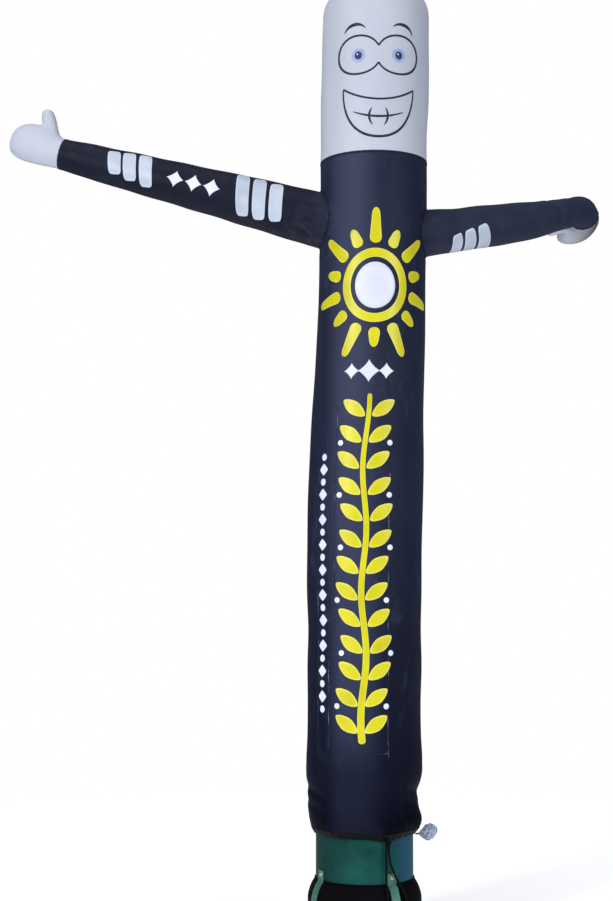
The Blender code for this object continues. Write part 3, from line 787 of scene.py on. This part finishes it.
def sleeveCreases(side, reach, turn):
    # puckers at the root and the wrist, slanting folds, and the right one's kink near its bend
    length = sleeves[side]["length"]
    root = 0.0022 * np.cos(11 * turn + 2 * np.sin(2 * turn)) * np.exp(-np.abs(reach - 0.13) / 0.05)
    wrist = 0.0010 * np.cos(17 * turn + np.sin(3 * turn)) * np.exp(-(length - reach) / 0.03)
    folds = (0.0009 * np.sin(2 * turn + 19 * reach) * np.sin(7.3 * reach + 1)
             + 0.0009 * np.sin(3 * turn - 31 * reach + 2))
    folds = folds * np.clip((length - reach) / 0.1, 0, 1)
    if side == "left":
        return root + wrist + folds
    top = np.clip(0.55 + 0.45 * np.sin(turn), 0, 1)
    kink = -0.0040 * bump(reach + 0.018 * np.cos(turn), 0.765, 0.010) * top
    kink = kink + 0.0012 * bump(reach, 0.740, 0.020) * top
    bend = 0.0010 * np.sin(86 * reach + 2 * turn) * bump(reach, 0.88, 0.06)
    return root + wrist + folds + kink + bend


def sleevePoint(side, reach, turn, proud=0.0):
    # ellipses square to the middle line
    middle, _, across, up, wide, tall = sleeveFrame(side, reach)
    more = sleeveCreases(side, reach, turn) + proud
    return (middle + ((wide + more) * np.cos(turn))[..., None] * across
            + ((tall + more) * np.sin(turn))[..., None] * up)


def sleevePlace(side):
    # (round from the front, along) on the flat to the sleeve's surface
    front = math.radians(sleeves[side]["front"])

    def place(flatX, flatY, proud=0.0):
        return sleevePoint(side, flatY, front + flatX / sleeves[side]["flat"], proud)
    return place


def sleeveRoot(side, turn, sunk=0.0015):
    # how far along each line of the sleeve it comes out of the tube, found by halving
    near, far = np.zeros_like(turn), np.full_like(turn, 0.33)
    for _ in range(34):
        middle = (near + far) / 2
        place = sleevePoint(side, middle, turn)
        row = smoothRows(tube["sections"], place[..., 2])
        inside = np.hypot(place[..., 0] - row[..., 0], place[..., 1]) < row[..., 1] - sunk
        near, far = np.where(inside, middle, near), np.where(inside, far, middle)
    return (near + far) / 2


def makeTube():
    columns, rows = tube["columns"], tube["rows"]
    heights = [row[0] for row in tube["sections"]]
    # rows are closer near the hem, where the folds are small
    part = np.linspace(0, 1, rows)
    height = heights[0] + (heights[-1] - heights[0]) * (0.75 * part + 0.25 * part ** 2)
    azimuth = -math.pi + np.arange(columns) * math.tau / columns
    points = tubePoint(*np.meshgrid(azimuth, height))
    around = np.linspace(-math.pi, math.pi, columns + 1) * tube["flat"]
    flat = stack(*np.meshgrid(around, height))
    # the armholes: no cloth inside the sleeves' roots
    middle = (points[:-1] + points[1:]) / 2
    keep = np.ones(middle.shape[:2], bool)
    for side in sleeves:
        at, along, _, _, _, tall = sleeveFrame(side, np.array(0.12))
        gap = middle - at
        off = gap - (gap @ along)[..., None] * along
        toward = gap @ along > -0.2
        keep &= ~((np.linalg.norm(off, axis=-1) < tall - 0.014) & toward)
    mesh = gridMesh("tube_cloth", points, flat, True, keep=keep)
    piece = addPiece("tube_cloth", mesh, navyCloth, ("body_tube",))


def makeHead():
    columns = head["columns"]
    azimuth = -math.pi + np.arange(columns) * math.tau / columns
    bottom, top = head["sections"][0][0], head["sections"][-1][0]
    side = headPoint(*np.meshgrid(azimuth, np.linspace(bottom, top, 96)))
    turn = np.radians(np.linspace(0, 89, 60))[1:]
    dome = domePoint(*np.meshgrid(azimuth, turn))
    points = np.concatenate([side, dome])
    reach = bottom + travelled(points[:, columns // 2])
    around = np.linspace(-math.pi, math.pi, columns + 1) * head["flat"]
    flat = stack(*np.meshgrid(around, reach))
    pole = (head["sections"][-1][1], 0.0, top + head["domeHeight"])
    mesh = gridMesh("head_cloth", points, flat, True, pole)
    piece = addPiece("head_cloth", mesh, whiteCloth, ("head",))


def makeSleeve(side):
    columns, rows = 144, 220
    turn = np.arange(columns) * math.tau / columns + math.radians(sleeves[side]["front"]) - math.pi
    root = sleeveRoot(side, turn)
    part = np.linspace(0, 1, rows)[:, None]
    reach = root[None, :] + part * (sleeves[side]["length"] - root[None, :])
    points = sleevePoint(side, reach, turn[None, :] + 0 * reach)
    around = np.linspace(-math.pi, math.pi, columns + 1) * sleeves[side]["flat"]
    along = np.concatenate([reach, reach[:, :1]], axis=1)
    flat = stack(around[None, :] + 0 * along, along)
    name = "sleeve_cloth_" + side
    mesh = gridMesh(name, points, flat, True)
    piece = addPiece(name, mesh, navyCloth, ("sleeve_" + side,))


makeTube()
makeHead()
for side in sleeves:
    makeSleeve(side)
print("tube, head and sleeves ready")


# --- mittens ------------------------------------------------------------------------------

mitten = {
    # along, lift, tall, wide
    "rings": [(0.000, 0.000, 0.072, 0.072), (0.034, 0.002, 0.078, 0.070), (0.118, 0.013, 0.095, 0.070),
              (0.180, 0.014, 0.094, 0.064), (0.226, 0.007, 0.066, 0.046), (0.238, 0.004, 0.034, 0.024)],
    "corners": 8,
    "thumbCorner": 1,
    "thumbRoot": 0.076,
    # back, front, how high the back and the front are, half width
    "thumb": [(0.058, 0.136, 0.130, 0.124, 0.032), (0.082, 0.143, 0.166, 0.158, 0.029),
              (0.098, 0.129, 0.179, 0.175, 0.013)],
    "smooth": 4,
}


def handFrame(side, reach):
    # the sleeve's end frame, bent round by the curl and then rolled
    stations = np.array(sleeves[side]["stations"])[:, :3]
    place = stations[-1]
    along = unit(stations[-1] - stations[-2])
    across = unit(np.cross((0.0, 0.0, 1.0), along))
    up = np.cross(along, across)
    bend = math.radians(sleeves[side]["curl"]) / mitten["rings"][-1][0]
    turn = bend * reach
    middle = place + reach * along
    if bend:
        middle = place + (math.sin(turn) * along + (1.0 - math.cos(turn)) * across) / bend
    ahead = math.cos(turn) * along + math.sin(turn) * across
    aside = math.cos(turn) * across - math.sin(turn) * along
    roll = math.radians(sleeves[side]["roll"])
    return (middle, ahead, math.cos(roll) * aside - math.sin(roll) * up,
            math.cos(roll) * up + math.sin(roll) * aside)


def makeMitten(side):
    # a cage of rings with the thumb drawn out of one face, smoothed by subdivision
    corners = mitten["corners"]
    turn = (np.arange(corners) + 0.5) * math.tau / corners
    sine, cosine = np.sin(turn)[:, None], np.cos(turn)[:, None]
    rings = []
    for reach, lift, tall, wide in mitten["rings"]:
        middle, _, across, up = handFrame(side, reach)
        rings.append(middle + (lift + tall * sine) * up + wide * cosine * across)
    ring, corner = np.meshgrid(np.arange(len(rings) - 1), np.arange(corners), indexing="ij")
    after = (corner + 1) % corners
    quads = stack(ring * corners + corner, ring * corners + after,
                  (ring + 1) * corners + after, (ring + 1) * corners + corner)
    faces = quads.reshape(-1, 4).tolist()
    last = (len(rings) - 1) * corners
    faces += [[last, last + 1, last + 6, last + 7], [last + 1, last + 2, last + 5, last + 6],
              [last + 2, last + 3, last + 4, last + 5]]
    first = corners + mitten["thumbCorner"]
    root = [first, first + 1, first + 1 + corners, first + corners]
    faces.remove(root)
    middle, along, across, up = handFrame(side, mitten["thumbRoot"])
    points = [np.array(rings).reshape(-1, 3)]
    count = len(rings) * corners
    for back, front, backLift, frontLift, wide in mitten["thumb"]:
        rear = middle + (back - mitten["thumbRoot"]) * along + backLift * up
        fore = middle + (front - mitten["thumbRoot"]) * along + frontLift * up
        points.append(np.array([rear + wide * across, rear - wide * across,
                                fore - wide * across, fore + wide * across]))
        fresh = [count, count + 1, count + 2, count + 3]
        faces += [[root[k], root[(k + 1) % 4], fresh[(k + 1) % 4], fresh[k]] for k in range(4)]
        root, count = fresh, count + 4
    faces.append(root)
    name = "mitten_cloth_" + side
    mesh = bpy.data.meshes.new(name)
    mesh.from_pydata(np.vstack(points).tolist(), [], faces)
    mesh.uv_layers.new(name="flat")
    mesh.shade_smooth()
    piece = addPiece(name, mesh, whiteCloth, ("mitten_" + side,))
    smooth = piece.modifiers.new("smooth", "SUBSURF")
    smooth.levels = smooth.render_levels = mitten["smooth"]


for side in sleeves:
    makeMitten(side)
print("mittens ready")


# --- strokes and shapes of film, ink and tape on the cloth --------------------------------

def evenPath(line, halfWidth, closed):
    # the path read off every few millimetres, with extra places inside the rounded ends
    reach = travelled(line)
    length = reach[-1]
    count = max(int(length / 0.005), 8)
    where = np.linspace(0, length, count)
    if not closed:
        ends = halfWidth * np.array([0.0, 0.03, 0.12, 0.28, 0.50, 0.75])
        inner = np.linspace(halfWidth, length - halfWidth, max(int((length - 2 * halfWidth) / 0.005), 2))
        where = np.concatenate([ends, inner, length - ends[::-1]])
    points = stack(*(np.interp(where, reach, line[:, k]) for k in range(2)))
    return points, where, length


def strokeMesh(name, place, line, halfWidth, thick=0.0006, closed=False, taper=None):
    # a ribbon along a line on the flat: domed a little across, its edges tucked under the
    # surface, its ends round; taper scales the width along it
    points, where, length = evenPath(np.array(line, float), halfWidth, closed)
    ahead = np.gradient(points, where, axis=0)
    if closed:
        ahead[0] = ahead[-1] = (points[1] - points[-2]) / 2
    ahead = unit(ahead)
    side = stack(ahead[:, 1], -ahead[:, 0])
    size = np.full(len(where), halfWidth)
    if not closed:
        left = np.minimum(where, length - where)
        size = halfWidth * np.sqrt(np.clip(1 - np.clip(1 - left / halfWidth, 0, 1) ** 2, 0.0005, 1))
    if taper is not None:
        size = size * taper(where / length)
    across = np.array([-1.0, -0.99, -0.93, -0.6, -0.2, 0.2, 0.6, 0.93, 0.99, 1.0])
    rise = np.array([-1.0, 0.7, 0.93, 1.0, 1.0, 1.0, 1.0, 0.93, 0.7, -1.0]) * thick
    rise = np.repeat(rise[None, :], len(where), axis=0)
    if not closed:
        rise[0] = rise[-1] = -thick
    spread = points[:, None, :] + (size[:, None] * across[None, :])[..., None] * side[:, None, :]
    cloth = place(spread[..., 0], spread[..., 1], rise)
    flat = stack(across[None, :], where[:, None])
    return gridMesh(name, cloth, flat)


def shapeMesh(name, place, centre, size, power, lean=0.0, thick=0.0006, sides=72):
    # a filled superellipse on the flat: power 2 is an oval, 1 a lozenge, less a pointed star
    angle = np.arange(sides) * math.tau / sides
    radius = (np.abs(np.cos(angle)) ** power + np.abs(np.sin(angle)) ** power) ** (-1 / power)
    rings = np.array([1.0, 0.985, 0.93, 0.80, 0.60, 0.40, 0.20, 0.06])
    rise = np.array([-1.0, 0.7, 0.93, 1.0, 1.0, 1.0, 1.0, 1.0]) * thick
    x = rings[:, None] * (size[0] * radius * np.cos(angle))[None, :]
    y = rings[:, None] * (size[1] * radius * np.sin(angle))[None, :]
    tilt = math.radians(lean)
    flatX = centre[0] + x * math.cos(tilt) - y * math.sin(tilt)
    flatY = centre[1] + x * math.sin(tilt) + y * math.cos(tilt)
    points = place(flatX, flatY, rise[:, None] + 0 * flatX)
    middle = place(np.array(centre[0], float), np.array(centre[1], float), thick)
    flat = stack(rings[:, None], np.linspace(0, 0.1, sides + 1)[None, :])
    return gridMesh(name, points, flat, True, middle)


def swelling(thin, more, power=1.0):
    # a taper that is thin at both ends and fullest in the middle
    return lambda part: thin + more * np.sin(np.pi * part) ** power


def ringLine(centre, size, power, start=0.0, sweep=360.0, count=160):
    # a superellipse's outline, or an arc of it, as a line on the flat
    angle = np.radians(np.linspace(start, start + sweep, count))
    cosine, sine = np.cos(angle), np.sin(angle)
    x = np.sign(cosine) * np.abs(cosine) ** (2 / power)
    y = np.sign(sine) * np.abs(sine) ** (2 / power)
    return stack(centre[0] + size[0] * x, centre[1] + size[1] * y)


# a sun on the chest: rays round a ring and a disc
chest = {
    "centre": (0.004, 2.705),
    "rays": 14,
    "rayFrom": 0.178,
    "longRay": 0.330,
    "shortRay": 0.262,
    "rayHalf": 0.027,
    "stretch": (0.92, 1.00),
    "ring": (0.128, 0.138),
    "ringHalf": 0.019,
    "disc": (0.090, 0.099),
}


def makeChest():
    yellow = []
    for k in range(chest["rays"]):
        angle = math.radians(90 + k * 360 / chest["rays"])
        outer = chest["longRay"] if k % 2 == 0 else chest["shortRay"]
        reach = np.linspace(chest["rayFrom"], outer, 24)
        line = stack(chest["centre"][0] + chest["stretch"][0] * reach * math.cos(angle),
                     chest["centre"][1] + chest["stretch"][1] * reach * math.sin(angle))
        yellow.append(strokeMesh(f"ray_{k}", tubePlace, line, chest["rayHalf"],
                                 taper=lambda part: 1.05 - 0.45 * part))
    yellow.append(strokeMesh("sun_ring", tubePlace, ringLine(chest["centre"], chest["ring"], 2.0),
                             chest["ringHalf"], closed=True))
    addJoined("chest_sun", yellow, yellowVinyl)
    disc = shapeMesh("chest_disc", tubePlace, chest["centre"], chest["disc"], 2.0, sides=120)
    addPiece("chest_disc", disc, whiteVinyl)


# down the front: a leafy stem with white berries, and a row of stars over it
stem = {
    "middle": -0.012,
    "half": 0.012,
    "sway": 0.010,
    "swayLength": 0.52,
    "bottom": 0.815,
    "top": 2.250,
    "pitch": 0.108,
    "leafOut": 0.062,
    "leafUp": 0.034,
    "leafSize": (0.058, 0.028),
    "leafLean": 36.0,
    "leafPower": 1.55,
    "berryOut": 0.104,
    "berry": 0.012,
    "starHeight": 2.345,
    "starPitch": 0.074,
    "starSizes": (0.034, 0.048, 0.034),
}


def stemMiddle(height):
    # the stem sways from side to side as it climbs
    return stem["middle"] + stem["sway"] * np.sin(height * math.tau / stem["swayLength"])


def makeStem():
    height = np.linspace(stem["bottom"], stem["top"], 300)
    yellow = [strokeMesh("stem", tubePlace, stack(stemMiddle(height), height), stem["half"],
                         taper=lambda part: 1.25 - 0.45 * part)]
    white = []
    for k, level in enumerate(np.arange(stem["bottom"] + 0.045, stem["top"] - 0.01, stem["pitch"])):
        middle = float(stemMiddle(level))
        for way in (-1, 1):
            centre = (middle + way * stem["leafOut"], float(level) + stem["leafUp"])
            yellow.append(shapeMesh(f"leaf_{k}_{way}", tubePlace, centre, stem["leafSize"],
                                    stem["leafPower"], way * stem["leafLean"], thick=0.0009))
            if k % 2:
                berry = (middle + way * stem["berryOut"], float(level) - 0.002)
                white.append(shapeMesh(f"berry_{k}_{way}", tubePlace, berry,
                                       (stem["berry"], stem["berry"]), 2.0, sides=40))
    for k, size in enumerate(stem["starSizes"]):
        centre = (stem["middle"] + (k - 1) * stem["starPitch"], stem["starHeight"])
        white.append(shapeMesh(f"star_{k}", tubePlace, centre, (size, size), 0.8))
    addJoined("stem_and_leaves", yellow, yellowVinyl)
    addJoined("stars_and_berries", white, whiteVinyl)


# a narrow column of small lozenges and dots at the left
narrow = {"azimuth": -48.0, "top": 1.990, "bottom": 0.900, "pitch": 0.052, "size": (0.023, 0.025)}


def makeNarrow():
    shapes = []
    x = math.radians(narrow["azimuth"]) * tube["flat"]
    heights = np.arange(narrow["top"], narrow["bottom"], -narrow["pitch"])
    for k, height in enumerate(heights):
        wide, tall = narrow["size"]
        power = 1.15 if k % 2 else 2.0
        scale = 1.0 if k % 2 else 0.60
        shapes.append(shapeMesh(f"small_{k}", tubePlace, (x, float(height)),
                                (wide * scale, tall * scale), power, sides=40))
    addJoined("narrow_column", shapes, whiteVinyl)


# on the sleeves: slanting bars and small stars; each row is (along, half length)
armPrint = {
    "half": 0.029,
    "lean": 14.0,
    "power": 5.5,
    "leftBars": ((0.300, 0.082), (0.375, 0.094), (0.450, 0.100), (0.890, 0.090), (0.963, 0.080),
                 (1.032, 0.066)),
    "leftStars": (0.585, 0.668, 0.751),
    "star": 0.038,
    "rightBars": (0.235, 0.305, 0.375),
    "rightHalf": 0.085,
    "rightLow": 0.108,              # how far below the middle the first of them is
    "rightClimb": 0.012,            # how far each next one climbs
    "thick": 0.0012,
}


def makeArmPrint():
    bars, stars = [], []
    outline = (armPrint["power"], armPrint["lean"], armPrint["thick"], 96)
    place = sleevePlace("left")
    for k, (reach, half) in enumerate(armPrint["leftBars"]):
        bars.append(shapeMesh(f"bar_{k}", place, (0.012, reach), (half, armPrint["half"]), *outline))
    for k, reach in enumerate(armPrint["leftStars"]):
        star = (armPrint["star"], armPrint["star"])
        stars.append(shapeMesh(f"arm_star_{k}", place, (0.0, reach), star, 0.8))
    place = sleevePlace("right")
    for k, reach in enumerate(armPrint["rightBars"]):
        centre = (armPrint["rightLow"] - armPrint["rightClimb"] * k, reach)
        size = (armPrint["rightHalf"], armPrint["half"])
        bars.append(shapeMesh(f"low_bar_{k}", place, centre, size, *outline))
    addJoined("arm_bars", bars, greyVinyl)
    addJoined("arm_stars", stars, whiteVinyl)


# the edges of the clear film that carried the prints, seen as faint broken lines;
# each row is (azimuth, height) to (azimuth, height)
filmEdges = {
    "lines": (((-47.0, 0.772), (-40.0, 0.768)), ((-34.0, 0.768), (22.0, 0.776)),
              ((22.0, 0.755), (22.0, 1.92)), ((-55.0, 0.79), (-55.0, 2.03)),
              ((-39.5, 0.79), (-39.5, 1.15)), ((-33.0, 1.30), (-33.0, 2.20))),
    "half": 0.0016,
}


def makeFilmEdges():
    edges = []
    for k, ends in enumerate(filmEdges["lines"]):
        rows = np.array(ends) * (math.radians(1.0) * tube["flat"], 1.0)
        part = np.linspace(0, 1, 200)[:, None]
        edges.append(strokeMesh(f"edge_{k}", tubePlace, rows[0] * (1 - part) + rows[1] * part,
                                filmEdges["half"], 0.0004))
    addJoined("film_edges", edges, filmEdge)


makeFilmEdges()
makeChest()
makeStem()
makeNarrow()
makeArmPrint()
print("film shapes ready")


# --- the face: plain cartoon strokes ------------------------------------------------------

face = {
    "middle": 0.004,
    "lineHalf": 0.0042,
    "eyeCentre": (0.088, 3.690),    # each side of the middle
    "eyeSize": (0.0960, 0.0830),
    "eyeOpen": 156.0,               # degrees each way, to where the two outlines meet
    "irisCentre": (0.088, 3.687),
    "iris": 0.031,
    "pupil": 0.0165,
    "glint": 0.0035,
    "glintOff": (-0.004, 0.005),    # from the pupil's middle
    "browCentre": (0.104, 3.782),
    "browSize": (0.052, 0.040),
    "mouthTop": 3.548,
    "mouthHalf": 0.160,
    "lipSag": 0.052,
    "mouthTall": 0.212,
    "browHalf": 0.0062,
    "browTilt": 0.22,
    "mouthAside": 0.006,            # the mouth's middle from the eyes'
    "teethHalf": 0.110,
    "teethDrop": 0.102,
    "teethSag": 0.024,
    "toothAside": 0.040,
}


def makeFace():
    ink = []
    middle = face["middle"]
    for way in (-1, 1):
        # each eye is an oval left open towards the nose; the two meet above and below it
        line = ringLine((0.0, face["eyeCentre"][1]), face["eyeSize"], 2.1, -face["eyeOpen"],
                        2 * face["eyeOpen"])
        x = middle + way * (face["eyeCentre"][0] + line[:, 0])
        line = stack(x, line[:, 1])
        if way < 0:
            line = line[::-1]
        ink.append(strokeMesh(f"eye_{way}", headPlace, line, face["lineHalf"],
                              taper=swelling(0.85, 0.35)))
        brow = ringLine((0.0, 0.0), face["browSize"], 2.0, 15.0, 140.0)
        tilt = -way * face["browTilt"]
        x = brow[:, 0] * math.cos(tilt) - brow[:, 1] * math.sin(tilt)
        y = brow[:, 0] * math.sin(tilt) + brow[:, 1] * math.cos(tilt)
        line = stack(middle + way * face["browCentre"][0] + x, face["browCentre"][1] + y)
        ink.append(strokeMesh(f"brow_{way}", headPlace, line, face["browHalf"],
                              taper=swelling(0.25, 0.95, 1.2)))
    # the mouth: a shallow upper curve and a deep lower one, meeting at the corners
    x = np.linspace(-1, 1, 120)
    middle = middle + face["mouthAside"]
    upper = stack(middle + face["mouthHalf"] * x,
                  face["mouthTop"] - face["lipSag"] * (1 - x ** 2))
    lower = ringLine((middle, face["mouthTop"]), (face["mouthHalf"], face["mouthTall"]), 2.15,
                     180.0, 180.0)
    ink.append(strokeMesh("upper_lip", headPlace, upper, face["lineHalf"]))
    ink.append(strokeMesh("lower_lip", headPlace, lower, face["lineHalf"],
                          taper=swelling(0.85, 0.45)))
    # teeth: one bowed line with short uprights
    level = face["mouthTop"] - face["teethDrop"]
    teeth = stack(middle + face["teethHalf"] * x, level - face["teethSag"] * (1 - x ** 2))
    ink.append(strokeMesh("teeth_line", headPlace, teeth, face["lineHalf"],
                          taper=swelling(0.45, 0.75)))
    for k, place in enumerate((-face["toothAside"], face["toothAside"])):
        root = level - face["teethSag"] * (1 - (place / face["teethHalf"]) ** 2)
        y = np.linspace(root - 0.040, root + 0.034, 30)
        line = stack(middle + place - 0.35 * place * ((y - root) / 0.038) ** 2, y)
        ink.append(strokeMesh(f"tooth_{k}", headPlace, line, face["lineHalf"],
                              taper=swelling(0.35, 0.85)))
    addJoined("face_lines", ink, faceInk)
    # the eyes' layers of ink, each standing a little higher than the one below
    for name, material, size, (aside, above), thick, sides in (
            ("irises", irisInk, (face["iris"], face["iris"]), (0.0, 0.0), 0.0004, 72),
            ("pupils", pupilInk, (face["pupil"], face["pupil"] * 1.08), (0.0, 0.0), 0.0009, 72),
            ("eye_glints", whiteVinyl, (face["glint"], face["glint"]), face["glintOff"], 0.0014, 24)):
        shapes = []
        for way in (-1, 1):
            centre = (face["middle"] + way * face["irisCentre"][0] + aside, face["irisCentre"][1] + above)
            shapes.append(shapeMesh(f"{name}_{way}", headPlace, centre, size, 2.0, thick=thick,
                                    sides=sides))
        addJoined(name, shapes, material)


makeFace()
print("face ready")


# --- seams --------------------------------------------------------------------------------

seams = {
    "half": 0.0050,
    "thick": 0.0012,
    "light": 0.00084,               # thickness on the sleeves and the head
    "hemHalf": 0.0130,
    "inset": 0.0005,                # from the cloth's edge
    "rollRadius": 0.0026,           # of the rolled seam round each armhole
}


def circleLine(flat, level, count=260):
    # all the way round at one height, on the flat
    width = math.pi * flat
    return stack(np.linspace(-width, width, count), np.full(count, level))


def makeSeams():
    half, thick, light = seams["half"], seams["thick"], seams["light"]
    hem, neck = tube["sections"][0][0], tube["sections"][-1][0]
    navy = [strokeMesh("neck_seam", tubePlace, circleLine(tube["flat"], neck - half - seams["inset"]),
                       half, thick, closed=True)]
    fold = strokeMesh("hem_fold", tubePlace, circleLine(tube["flat"], hem + seams["hemHalf"]),
                      seams["hemHalf"], thick, closed=True)
    addPiece("hem_fold", fold, hemBand)
    # the tube's back seam
    height = np.linspace(hem + 0.03, neck - 0.012, 500)
    navy.append(strokeMesh("back_seam", tubePlace,
                           stack(np.full(500, math.pi * tube["flat"]), height), half, thick))
    for side in sleeves:
        turn = np.radians(np.linspace(0, 360, 241))
        root = sleeveRoot(side, turn[:-1], sunk=-0.0012)
        ring = sleevePoint(side, root, turn[:-1], 0.0008)
        navy.append(tubeMesh("root_" + side, ring, seams["rollRadius"], 8, closed=True))
        length = sleeves[side]["length"]
        place = sleevePlace(side)
        x = np.linspace(-math.pi, math.pi, 200) * sleeves[side]["flat"]
        navy.append(strokeMesh("wrist_" + side, place, stack(x, length - half - seams["inset"]),
                               half, light, closed=True))
        # the sleeve's seam, along the back
        low = math.pi * sleeves[side]["flat"]
        reach = np.linspace(0.16, length - 0.012, 220)
        navy.append(strokeMesh("under_" + side, place, stack(0 * reach + low, reach),
                               half * 0.8, light))
    addJoined("navy_seams", navy, navySeam)

    # the head's back seam and the round panel at its top
    bottom, top = head["sections"][0][0], head["sections"][-1][0]
    height = np.linspace(bottom + 0.001, top, 160)
    white = [strokeMesh("head_back", headPlace,
                        stack(np.full(160, math.pi * head["flat"]), height), half, light)]
    turn = math.acos((head["capRadius"] / head["sections"][-1][2]) ** (head["domePower"] / 2))

    def onDome(flatX, flatY, proud):
        return domePoint(flatX / head["flat"], turn + flatY / 0.15, proud)
    x = np.linspace(-math.pi, math.pi, 260) * head["flat"]
    white.append(strokeMesh("cap_seam", onDome, stack(x, 0 * x), half, light,
                            closed=True))
    addJoined("white_seams", white, whiteSeam)


makeSeams()
print("seams ready")


# --- the blower ---------------------------------------------------------------------------

blower = {
    "drumRadius": 0.204,
    "housingRadius": 0.238,
    "housingTop": 0.240,
    "brackets": (30.5, 119.0, -151.0, -62.0),
    "bracketThick": 0.004,
    "bracketClear": 0.001,
    "boltHeights": (0.268, 0.060),
    "boltRadius": 0.0075,
    "boltTall": 0.0045,
    "gasket": 0.0035,
}


def boltMesh(name, azimuth, radius, height):
    # a pan head with a cross slot pressed in, standing out from the surface
    out, aside, up = radialAxes(azimuth)
    turn = np.arange(32) * math.tau / 32
    size, tall = blower["boltRadius"], blower["boltTall"]
    # each ring's radius and height, as shares of the head's
    rows = np.array([(1.35, 0.0), (1.35, 0.22), (1.0, 0.24), (1.0, 0.55), (0.90, 0.85), (0.60, 1.0),
                     (0.2, 1.0)])
    slot = 0.30 * tall * np.maximum(bump(np.sin(turn), 0, 0.25), bump(np.cos(turn), 0, 0.25))
    dip = np.array([0, 0, 0, 0, 0, 1.0, 1.0])[:, None] * slot[None, :]
    points = (radius * out + height * up + (rows[:, 1, None] * tall - dip)[..., None] * out
              + (size * rows[:, 0, None] * np.cos(turn)[None, :])[..., None] * aside
              + (size * rows[:, 0, None] * np.sin(turn)[None, :])[..., None] * up)
    middle = radius * out + height * up + 0.7 * tall * out
    flat = np.zeros((len(rows), 33, 2))
    return gridMesh(name, points, flat, True, middle)


def makeBlower():
    for name, material in (("drum", drumPaint), ("fan_housing", housingPaint),
                           *((f"bracket_{k}", bracketPaint) for k in (1, 2, 3, 4))):
        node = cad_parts[name]
        for spot in node.material_slots:
            spot.material = material
    bolts = []
    clear = blower["bracketClear"] + blower["bracketThick"]
    for k, azimuth in enumerate(blower["brackets"]):
        for spot, height in zip(("drum", "housing"), blower["boltHeights"]):
            radius = blower[spot + "Radius"] + clear
            bolts.append(boltMesh(f"{spot}_bolt_{k}", azimuth, radius, height))
    addJoined("bracket_screws", bolts, steel)
    turn = np.linspace(0, math.tau, 193)[:-1]
    size = blower["drumRadius"] + blower["gasket"] * 0.6
    ring = stack(size * np.cos(turn), size * np.sin(turn),
                 np.full_like(turn, blower["housingTop"] + blower["gasket"] * 0.9))
    addPiece("drum_gasket", tubeMesh("drum_gasket", ring, blower["gasket"], 12, closed=True),
             housingPaint)


makeBlower()
print("blower ready")
